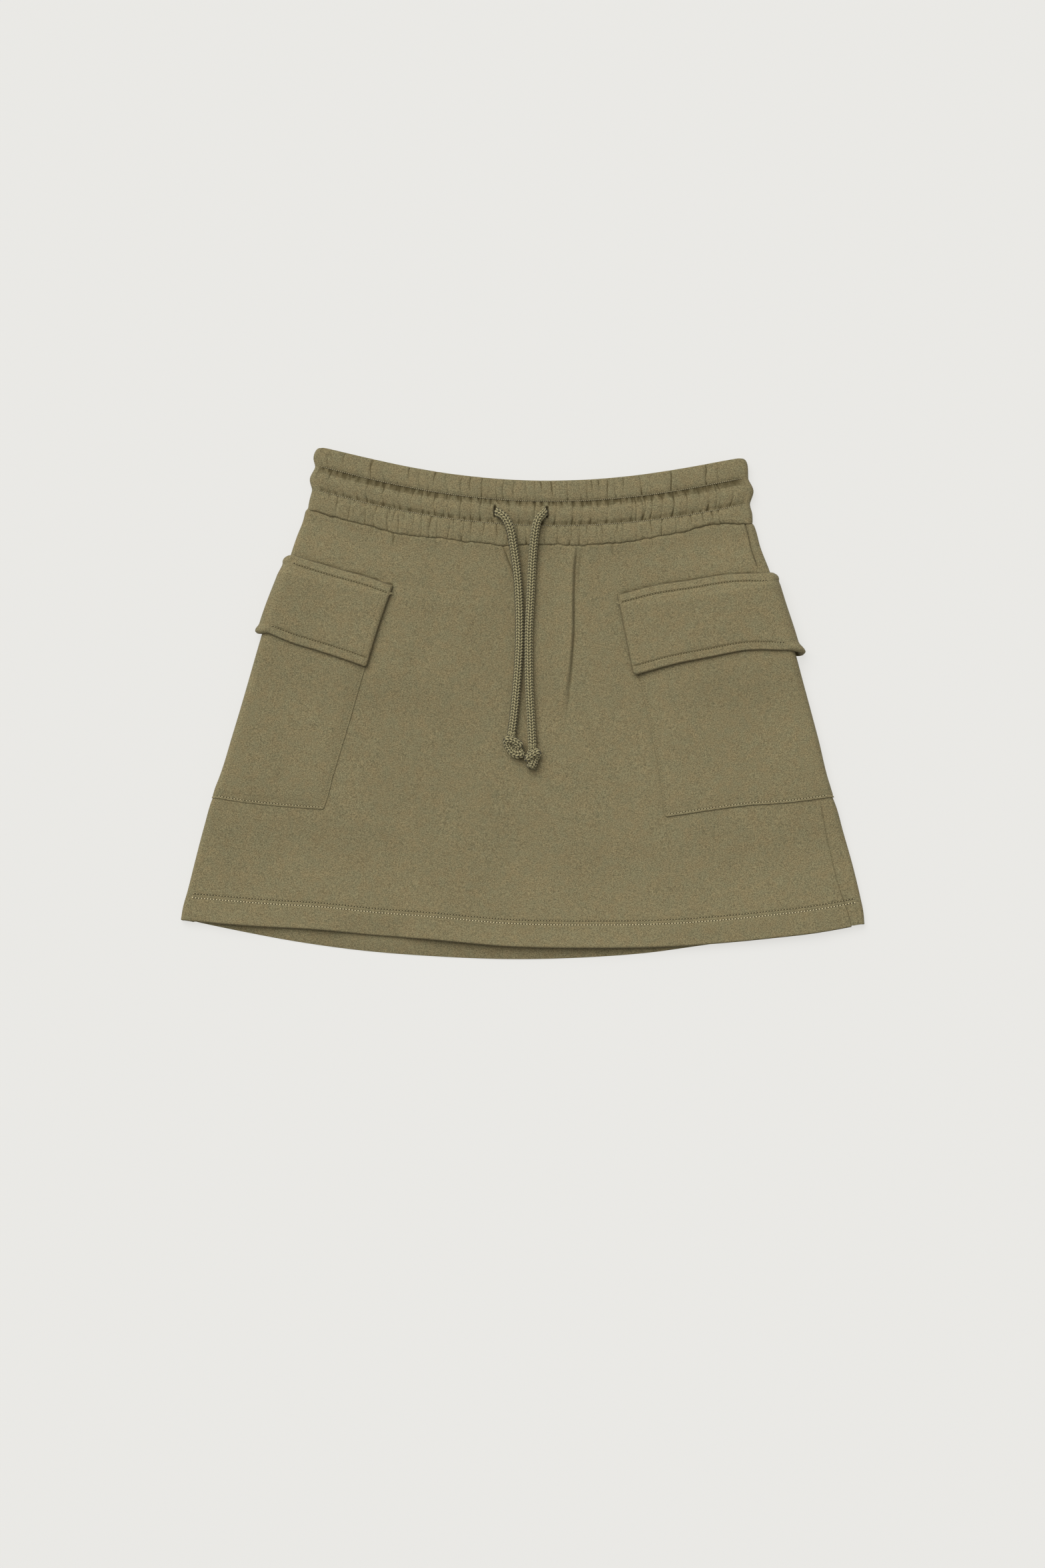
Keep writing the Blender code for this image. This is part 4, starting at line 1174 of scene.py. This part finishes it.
# A flap's thickness in from its level edges, in from its upright ones, and in from its level ones
# near the side fold. It is thickest over the seam inside, and thin at the stitching.
FLAP_THICKNESS = {
    "in":      (0.0, 1.2, 3.0, 5.2, 6.4, 7.6, 10.0),
    "level":   (2.1, 3.6, 4.3, 3.3, 1.9, 2.5, 2.9),
    "upright": (1.7, 2.4, 2.9, 3.0, 2.95, 2.9, 2.9),
    "fold":    (2.1, 3.6, 4.3, 3.9, 3.3, 3.0, 2.9),
}
FLAP_EASED = (0.5, 0.9)                 # the share of its lift that a flap's free corner keeps
FLAP_HANG = (0.0, 4.2 * MM)             # how far a flap's lower rim hangs down as it turns to the back
# A flap's swell, flare and hang grow over these shares of its height. Its free corner's lift grows
# over these of its height and of its way from the side fold.
SWELL_OVER, FLARE_OVER, HANG_OVER = (0.1, 0.9), (0.86, 1.0), (0.78, 1.0)
LIFT_DOWN, LIFT_AWAY = (0.35, 1.0), (0.25, 1.0)
FOLD_NEARNESS = (0.9, 1.0)              # its section near the side fold takes over from its other one


def edge_reach(sizes, number, face, row):
    """How far the piece's upright edge on a face is from the side fold."""
    if face == "back":
        return sizes["back"][number] * MM + 0 * row
    share = ramp(row, sizes["top"][number][0], sizes["bottom"][number][0])
    out = sizes["corner"][number] * ramp(share, CORNER_START, 1.0)
    return (blend((sizes["edge_at_top"][number], sizes["edge_at_bottom"][number]), share) + out) * MM


def wrapping(sizes, number, face, value, down):
    """Where a wrapping piece is: its row, its place along the face, how near the fold, how far in.

    value is 0 at the piece's upright edge and 1 at the side fold, or a fold's turn.
    """
    near = 1.0 + 0 * value if face in SIDES else value
    top, bottom = (curve(NEARNESS, sizes[name][number], near) for name in ("top", "bottom"))
    row = blend((top, bottom), down)
    if face in SIDES:
        return row, value + 0 * row, near, 1.0 + 0 * row
    corner = sizes["round"][number] * MM
    into = ramp((1 - down) * piece_height(sizes, number), corner, 0.0)
    reach = edge_reach(sizes, number, face, row) - corner * (1 - np.sqrt(1 - CORNER_BLUNT * into ** 2))
    away = reach * (1 - near)
    along = away if SIDES[number] == "left" else body_length(row) - away
    return row, along, near, reach * near


def piece_height(sizes, number):
    """A piece's height on its upright edge."""
    return (sizes["bottom"][number][0] - sizes["top"][number][0]) * ROW_LENGTH


def pocket_surface(number):
    """A pocket's surface, for cloth_wall and for its stitches."""
    def surface(face, value, down, inner=False, lift=0.0):
        row, along, _, aside = wrapping(POCKETS, number, face, value, down)
        edge = (1 - down) * piece_height(POCKETS, number)
        if face not in SIDES:
            edge = np.minimum(edge, aside)
        groove = POCKET_DIP * bell(edge - STITCH_IN["pocket"], POCKET_DIP_BREADTH)
        groove = groove + POCKET_THINS[number] * (1 - ease(edge, 0.0, POCKET_SLOPE))
        return body_point(face, along, row, SEAM + (0.0 if inner else CLOTH - groove + lift))
    return surface


def flap_surface(number):
    """A flap's surface."""
    height = piece_height(FLAPS, number)

    def surface(face, value, down, inner=False, lift=0.0):
        row, along, near, aside = wrapping(FLAPS, number, face, value, down)
        ends = np.minimum(down * height, (1 - down) * height)
        thick = blend([read(FLAP_THICKNESS, name, ends / MM, by="in") for name in ("level", "fold")],
                      ease(near, *FOLD_NEARNESS))
        if face not in SIDES:
            thick = np.minimum(thick, read(FLAP_THICKNESS, "upright", aside / MM, by="in"))
        out = SEAM + pocket_cover(row, BACK_SLOPE) * (CLOTH + SEAM)
        if face == SIDES[number]:
            stand = SWELL[number] * ease(down, *SWELL_OVER) + FLARE[number] * ease(down, *FLARE_OVER)
            out = out + stand * np.sin(math.pi * along) ** 2
            hang = FLAP_HANG[number] * ease(down, *HANG_OVER) * np.sin(math.pi * (1 - along) ** 2)
            row = row + hang / ROW_LENGTH
        if face == "front":
            lifted = FLAP_EASED[number] * FLAP_LIFT
            out = out + lifted * ease(down, *LIFT_DOWN) * ease(1 - near, *LIFT_AWAY)
        return body_point(face, along, row, out + (0.0 if inner else thick + lift))
    return surface


def reaches_of(sizes, number):
    """How far a wrapping piece reaches from the side fold on the front and on the back."""
    return {"front": sizes["edge_at_top"][number] * MM, "back": sizes["back"][number] * MM}


def wrapping_columns(sizes, number):
    """Columns of a wrapping piece: close together near its edges."""
    front, back = (stations(0.0, (9 * MM, 0.55 * MM), (reach, 1.3 * MM)) / reach
                   for reach in reaches_of(sizes, number).values())
    if SIDES[number] == "left":
        return on("back", back) + on("left", FOLD_TURNS) + on("front", front[::-1])
    return on("front", front) + on("right", FOLD_TURNS[::-1]) + on("back", back[::-1])


TOP_STITCHES_IN = 0.6 * MM              # a flap's top row starts this far in from its upright edges
POCKET_TOP_STITCH = 0.01                # a pocket's upright rows start at this share of its height


def edge_lines(surface, stitched_in, height, reaches, top):
    """Stitch rows along a wrapping piece's level edges and its upright ones, as line(t, lift)."""
    level, upright = [], []
    heights = [(height - stitched_in) / height] + ([stitched_in / height] if top else [])
    for face in ("front", "back"):
        start = stitched_in / reaches[face]
        for down in heights:
            first = start if down == heights[0] else TOP_STITCHES_IN / reaches[face]
            level.append(lambda t, lift, face=face, down=down, first=first:
                         surface(face, first + (1 - first) * t, down + 0 * t, lift=lift))
        ends = (heights[-1] if top else POCKET_TOP_STITCH, heights[0])
        upright.append(lambda t, lift, face=face, start=start, ends=ends:
                       surface(face, start + 0 * t, blend(ends, t), lift=lift))
    return level, upright


BAR_TACK_IN = 1.1 * MM                  # from a flap's upright edge
BAR_TACK = (0.5 * MM, 7.2 * MM)         # from its top edge
# Cut thread ends at a flap's top corner: how far down each starts and how far it goes, in mm.
LOOSE_THREAD = 0.8                      # their thickness, as a share of a stitch's
LOOSE_ENDS = {
    "down":  (5.6, 6.6, 7.4),
    "reach": (2.6, 3.2, 1.8),
    "rise":  (-1.4, 0.3, 1.2),
    "drop":  (1.2, 1.6, 0.8),
}


def bar_tack(surface, height, reach, face):
    """The dense stitches that hold a flap's top corner."""
    return lambda t, lift: surface(face, BAR_TACK_IN / reach + 0 * t, blend(BAR_TACK, t) / height, lift=lift)


def loose_ends(name, surface, height, sign):
    """The cut thread ends at a flap's top corner."""
    down, reach, rise, drop = (np.array(values)[:, None] * MM for values in LOOSE_ENDS.values())
    start = surface("front", np.zeros(len(down)), down[:, 0] / height)
    shares = (BEAN_SHARES + 0.5)[None, :]
    run = np.stack((sign * reach * shares, rise * shares ** 1.6, -drop * shares ** 2), axis=-1)
    centres = start[:, None] + run
    ups = np.broadcast_to((0.0, 0.0, 1.0), centres.shape)
    new_object(name, *beans(centres, ups, LOOSE_THREAD * THREAD), sunk_thread)


PITCH = 2.2 * MM                        # from one stitch to the next
POCKET_PITCH, HEM_PITCH, TACK_PITCH, BAND_PITCH = 2.4 * MM, 2.39 * MM, 0.95 * MM, 1.67 * MM


def build_pocket(number, side):
    """A patch pocket, stitched close to its edges."""
    name, surface, height = f"pocket_{side}", pocket_surface(number), piece_height(POCKETS, number)
    downs = stations(0.0, (height - 6 * MM, 1.7 * MM), (height, 0.45 * MM)) / height
    piece = cloth_wall(f"{name}_cloth", wrapping_columns(POCKETS, number), downs, surface, knit, rim=0.2)
    level, upright = edge_lines(surface, STITCH_IN["pocket"], height, reaches_of(POCKETS, number), False)
    stitches(f"{name}_stitches", level, POCKET_PITCH, pale_thread, hole_shade, 0.3 * MM, 0.6 * MM, 0.5)
    stitches(f"{name}_side_stitches", upright, PITCH, sunk_thread)
    return piece


def build_flap(number, side):
    """A pocket flap, topstitched all round and held by bar tacks at its top corners."""
    name, surface, height = f"flap_{side}", flap_surface(number), piece_height(FLAPS, number)
    rim = 10.5 * MM
    downs = stations(0.0, (rim, 0.5 * MM), (height - rim, 1.1 * MM), (height, 0.5 * MM)) / height
    piece = cloth_wall(f"{name}_cloth", wrapping_columns(FLAPS, number), downs, surface, knit, rim=0.5)
    reaches = reaches_of(FLAPS, number)
    level, upright = edge_lines(surface, STITCH_IN["flap"], height, reaches, True)
    stitches(f"{name}_stitches", level, PITCH, sunk_thread, hole_shade, wide=0.55 * MM, share=0.58)
    stitches(f"{name}_side_stitches", upright, PITCH, sunk_thread)
    tacks = [bar_tack(surface, height, reaches[face], face) for face in reaches]
    stitches(f"{name}_bar_tacks", tacks, TACK_PITCH, sunk_thread)
    loose_ends(f"{name}_thread_ends", surface, height, 1 if side == "left" else -1)
    return piece


for number, side in enumerate(SIDES):
    for kind, build in (("pocket", build_pocket), ("flap", build_flap)):
        name = f"{kind}_{side}"
        build(number, side)
        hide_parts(name)

for name, height, look in (("low", HEM_STITCHES[0], pale_thread), ("high", HEM_STITCHES[1], sunk_thread)):
    hem_lines = [lambda t, lift, face=face, row=1 - height / ROW_LENGTH:
                 body_point(face, (0.002 + 0.996 * t) * body_length(row), row + 0 * t, lift)
                 for face in ("front", "back")]
    stitches(f"hem_stitches_{name}", hem_lines, HEM_PITCH, look, hole_shade, 0.5 * MM, 0.62 * MM, 0.54)

# ---------------------------------------------------------------- waistband

CORNER = 3.2 * MM                       # how round the waistband's top corners are
CORNER_LEVELS = 0.75
# How far the cloth puffs out between the stitch rows, which hold it down on levels 2 and 4.
PUFF = {
    "level":  (0.0, 0.12, 0.35, 0.8, 1.3, 1.7, 1.9, 2.0, 2.12, 2.35, 2.7, 3.05, 3.35, 3.65, 3.9,
               4.0, 4.08, 4.25, 4.8, 5.5, 5.85, 6.0),
    "height": (-0.8, -0.2, 0.2, 0.5, 0.4, 0.15, -0.25, -0.5, -0.45, 0.0, 0.7, 1.0, 0.6, -0.1, -0.6,
               -0.5, 0.0, 0.5, 0.8, 0.5, 0.2, -0.1),
}
SIDE_PUFF = 0.35                        # the share of that at the side folds
BAND_SIDE_EASE = 6 * MM                 # beside them it grows to the whole of it over this
BAND_CORNER_BLUNT = 0.98                # as CORNER_BLUNT
BAND_STITCHES = (2.0, 4.0)
CHANNELS = ((0.0, 2.0), (2.0, 4.0), (4.0, 6.0))
BAND_START, BAND_RUN = -168 * MM, 348 * MM      # the front run, from its left end
# Upright furrows by their pixel column in the photo; a stronger one is listed twice.
FURROWS = (
    (502, 520, 546, 558, 580, 580, 586, 596, 605, 618, 630, 642, 655, 670, 680, 692, 692, 706, 722, 745,
     760, 775, 790, 803, 818, 836, 855, 855, 869, 880, 894, 905, 925, 934, 956, 966, 980, 994, 994, 1016,
     1023, 1033, 1042, 1060, 1072, 1083),
    (488, 509, 530, 545, 571, 587, 596, 612, 630, 649, 662, 670, 686, 703, 718, 718, 736, 762, 777, 800,
     812, 831, 858, 858, 872, 886, 898, 911, 934, 948, 956, 966, 966, 978, 994, 1012, 1012, 1033, 1050,
     1066, 1066, 1078, 1083, 1100),
    (480, 505, 527, 546, 546, 568, 588, 608, 623, 635, 648, 666, 687, 703, 718, 718, 742, 752, 768, 790,
     803, 813, 830, 852, 873, 883, 893, 903, 913, 927, 938, 967, 967, 1012, 1012, 1022, 1067, 1067, 1085),
)
FURROW_DEPTHS = (1.3, 1.35, 1.35)       # by channel
BACK_FURROWS = 44
# A furrow grows and ends over these shares of its channel's height. Away from where it is deepest
# it keeps this share of its depth, and the rest fades over this share of the height.
FURROW_STARTS, FURROW_STOPS = (-0.02, 0.04), (0.96, 1.02)
FURROW_KEEPS, FURROW_FADES = 0.3, 0.55
LEVEL_STEP = 8.1 * MM                   # from one level to the next, for the puckers' lengths
LEVEL_RISE = 8 * MM                     # and rounded, for the furrows' slant
PUCKER_START = 0.6 * MM                 # a pucker gets deep over this
PUCKER_SPREAD = 0.2                     # and wider by this share of the way from its stitches
# Short puckers: the level they start from, the way they go, how many, depth and reach in mm.
PUCKERS = (
    (4.0, -1, 66, (0.25, 0.85), (1.6, 4.4)),
    (4.0, 1, 44, (0.15, 0.45), (0.8, 2.2)),
    (2.0, 1, 54, (0.2, 0.65), (1.2, 3.2)),
    (2.0, -1, 42, (0.15, 0.5), (1.2, 3.6)),
    (0.0, 1, 40, (0.15, 0.5), (1.2, 4.2)),
)
# The shade painted on the waistband's gathered cloth along its stitch rows, by pixel column in the photo.
BAND_SHADE = {
    "column": (470, 520, 560, 610, 650, 700, 780, 830, 880, 960, 1040, 1100, 1130),
    "upper":  (0.40, 0.52, 0.62, 0.58, 0.44, 0.32, 0.26, 0.28, 0.45, 0.48, 0.52, 0.54, 0.38),
    "lower":  (0.12, 0.16, 0.26, 0.34, 0.30, 0.14, 0.10, 0.26, 0.32, 0.28, 0.24, 0.20, 0.12),
}
# The levels over which that grows and ends again, above and below.
UPPER_GROWS, UPPER_ENDS = (3.05, 3.75), (3.97, 4.08)
LOWER_ENDS, LOWER_GROWS = (2.15, 2.75), (1.95, 2.02)
PLEATS = ((0.22, 3.1, 2), (0.18, 7.3, -3))      # how much it changes, over how many pixels, its slant
BAND_BUMPS = 0.20 * MM
# The buttonholes: their middles and half their length, then how deep and wide the slit is, and
# where the ridge of stitches beside it stands and how high and wide that is.
SLITS = ((-22.0 * MM, 151.6 * MM), (19.2 * MM, 151.0 * MM))
SLIT_HALF, SLIT_SLOPE = 5.2 * MM, 1.2 * MM
SLIT_DEEP, SLIT_BREADTH = 3.0 * MM, 1.0 * MM
RIDGE_BESIDE, RIDGE_HIGH, RIDGE_BREADTH = 2.4 * MM, 0.35 * MM, 1.2 * MM


def band_furrows():
    """Every furrow of the waistband, by face and channel, with its numbers."""
    found = []
    for channel, pixels in enumerate(FURROWS):
        for pixel in pixels:
            share = ((pixel - PHOTO_MIDDLE[0]) * PIXEL - BAND_START) / BAND_RUN
            found.append(("front", channel, share))
        for share in np.linspace(0.015, 0.985, BACK_FURROWS):
            found.append(("back", channel, share + random.uniform(-0.007, 0.007)))
    return [{"face": face, "channel": channel, "share": share,
             "depth": random.uniform(0.4, 0.7) * FURROW_DEPTHS[channel] * MM,
             "lean": random.uniform(-0.11, 0.11), "bend": random.uniform(-0.7, 0.7) * MM,
             "breadth": random.uniform(0.24, 0.42) * MM, "deepest": random.uniform(-0.1, 1.1)}
            for face, channel, share in found]


def band_puckers():
    """Every short pucker beside the waistband's stitch rows, with its numbers."""
    found = []
    for face in ("front", "back"):
        for level, way, count, depths, reaches in PUCKERS:
            for middle in (np.arange(count) + random.uniform(0.1, 0.9, count)) / count:
                found.append({"face": face, "level": level, "way": way, "share": middle,
                              "depth": random.uniform(*depths) * MM, "reach": random.uniform(*reaches) * MM,
                              "breadth": random.uniform(0.45, 1.0) * MM, "lean": random.uniform(-0.25, 0.25)})
    return found


furrows = band_furrows()
puckers = band_puckers()


def band_relief(face, share, level, length, x, y):
    """Furrows, puckers at the stitch rows and slow bumps of the waistband."""
    relief = np.zeros(np.broadcast(share, level).shape)
    for line in furrows:
        if line["face"] != face:
            continue
        low, high = CHANNELS[line["channel"]]
        height = (level - low) / (high - low)
        inside = ramp(height, *FURROW_STARTS) * (1 - ramp(height, *FURROW_STOPS))
        inside = inside * blend((FURROW_KEEPS, 1.0), bell(height - line["deepest"], FURROW_FADES))
        place = line["share"] * length + line["lean"] * (level - low) * LEVEL_RISE
        place = place + line["bend"] * np.sin(math.pi * height)
        relief = relief - line["depth"] * furrow(share * length - place, line["breadth"]) * inside
    for line in puckers:
        if line["face"] != face:
            continue
        away = line["way"] * (level - line["level"]) * LEVEL_STEP
        fade = ramp(away, 0.0, PUCKER_START) * bell(away, line["reach"])
        across = (share - line["share"]) * length - line["lean"] * away
        relief = relief - line["depth"] * bell(across, line["breadth"] + PUCKER_SPREAD * away) * fade
    relief = relief + BAND_BUMPS * np.sin(share * 41 + level * 0.9) * np.sin(level * 1.6 + share * 13)
    if face == "front":
        for slit_x, slit_y in SLITS:
            upright = 1 - ease(np.abs(y - slit_y), SLIT_HALF - SLIT_SLOPE, SLIT_HALF)
            relief = relief - SLIT_DEEP * bell(x - slit_x, SLIT_BREADTH) * upright
            relief = relief + RIDGE_HIGH * bell(np.abs(x - slit_x) - RIDGE_BESIDE, RIDGE_BREADTH) * upright
    return relief


def band_surface(face, value, level, inner=False, lift=0.0):
    """The waistband: value is the share of a run, or a fold's turn."""
    value, level = np.broadcast_arrays(np.asarray(value, float), np.asarray(level, float))
    size = {name: curve(LEVELS, BAND[name], level) * MM for name in BAND}
    into = ramp(level, SHOULDER - CORNER_LEVELS, SHOULDER)
    corner = CORNER * (1 - np.sqrt(1 - BAND_CORNER_BLUNT * into ** 2))
    size["left"], size["right"] = size["left"] + corner, size["right"] - corner
    ends = (size["left"], size["left_y"]), (size["right"], size["right_y"])
    length = size["right"] - size["left"] - 2 * BAND_FOLD

    def sag(share):
        return size["sag"] * np.maximum(arch(share), 1e-6) ** (size["bow"] / MM)

    along = value if face in SIDES else value * length
    out = -BAND_WALL + 0 * level
    if not inner:
        out = read(PUFF, "height", level, by="level")
        if face in SIDES:
            out = out * SIDE_PUFF
        else:
            x = size["left"] + BAND_FOLD + along
            y = blend((size["left_y"], size["right_y"]), value) - sag(value) * arch(value)
            side = ease(np.minimum(value, 1 - value) * length, 0.0, BAND_SIDE_EASE)
            out = out * blend((SIDE_PUFF, 1.0), side) + band_relief(face, value, level, length, x, y) * side
        out = out + lift
    if face == "back":
        out = np.minimum(out, BAND_FLOOR + lift)
    point = tube_point(face, along, ends, sag, lambda a, b: BAND_FLOOR,
                       lambda a, b: BAND_FLOOR + 2 * BAND_FOLD, BAND_FOLD, out)
    point[..., 1] += seam_line(point[..., 0]) * bell(level * LEVEL_RISE, SEAM_FADE)
    point[..., 2] = np.maximum(point[..., 2], 0.0)
    return point


def band_shade(face, value, level):
    """The shade painted along the waistband's stitch rows, besides its furrows: soft, with paler pleats."""
    if face in SIDES:
        return 0 * level
    column = photo_column(BAND_START + value * BAND_RUN)
    pleats = 1.0
    for change, size, slant in PLEATS:
        pleats = pleats + change * np.sin(column / size + slant * level)
    upper = ramp(level, *UPPER_GROWS) * (1 - ramp(level, *UPPER_ENDS))
    lower = (1 - ramp(level, *LOWER_ENDS)) * ramp(level, *LOWER_GROWS)
    return (curve(BAND_SHADE["column"], BAND_SHADE["upper"], column) * upper
            + curve(BAND_SHADE["column"], BAND_SHADE["lower"], column) * lower) * pleats


columns = []
for face, start, count in (("front", 0, 960), ("right", 1, 14), ("back", 1, 330), ("left", 0, 14)):
    columns += on(face, np.linspace(start, 1 - start, count, endpoint=False))
levels = stations(0.04, (0.4, 0.09), (1.7, 0.16), (2.3, 0.05), (3.6, 0.15), (4.3, 0.05),
                  (5.7, 0.16), (5.95, 0.06))
band = cloth_wall("waistband_cloth", columns, levels, band_surface, knit, ring=True, bulge=0.45, coarse=5,
                  shade=band_shade)
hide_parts("waistband")
band_lines = [lambda t, lift, face=face, level=level:
              band_surface(face, 0.003 + 0.994 * t, level + 0 * t, lift=lift)
              for level in BAND_STITCHES for face in ("front", "back")]
stitches("waistband_stitches", band_lines, BAND_PITCH, thread, hole_shade)

# ---------------------------------------------------------------- floor and light

FLOOR_HALF, FLOOR_DROP = 6.0, 0.2 * MM
FLOOR_SHADES = ((0.149, 0.149, 0.146, 1.0), (0.151, 0.150, 0.147, 1.0))
FLOOR_LIGHT = (1.0, 0.99, 0.955, 1.0)
FLOOR_GLOW = 0.675                      # the floor is lit from below too, as a light table is
KEY_ENERGY = 2.42
KEY_ANGLE = math.radians(50)            # how wide the lamp is, for soft shadows
KEY_TURN = (math.radians(-31), math.radians(-21), 0)
ROOM_COLOUR, ROOM_LIGHT = (1.0, 0.995, 0.985, 1.0), 0.345


def floor_material():
    """A plain pale studio floor."""
    material, tree, shader, place = start_material("studio_floor", 0.9, 0.0)
    tree.links.new(mix(tree, noise(tree, place, 3, 1.0), *FLOOR_SHADES), shader.inputs["Base Color"])
    shader.inputs["Emission Color"].default_value = FLOOR_LIGHT
    shader.inputs["Emission Strength"].default_value = FLOOR_GLOW
    return material


floor_mesh = bpy.data.meshes.new("studio_floor")
corners = [(x * FLOOR_HALF, y * FLOOR_HALF, -FLOOR_DROP) for x, y in ((-1, -1), (1, -1), (1, 1), (-1, 1))]
floor_mesh.from_pydata(corners, [], [(0, 1, 2, 3)])
floor_mesh.materials.append(floor_material())
floor = placed("studio_floor", floor_mesh)

key_data = bpy.data.lights.new("key", "SUN")
key_data.energy = KEY_ENERGY
key_data.angle = KEY_ANGLE
key = placed("key", key_data)
key.rotation_euler = KEY_TURN

world = bpy.data.worlds.new("studio")
world.use_nodes = True
world.node_tree.nodes["Background"].inputs["Color"].default_value = ROOM_COLOUR
world.node_tree.nodes["Background"].inputs["Strength"].default_value = ROOM_LIGHT
bpy.context.scene.world = world
bpy.context.scene.view_settings.view_transform = "Standard"
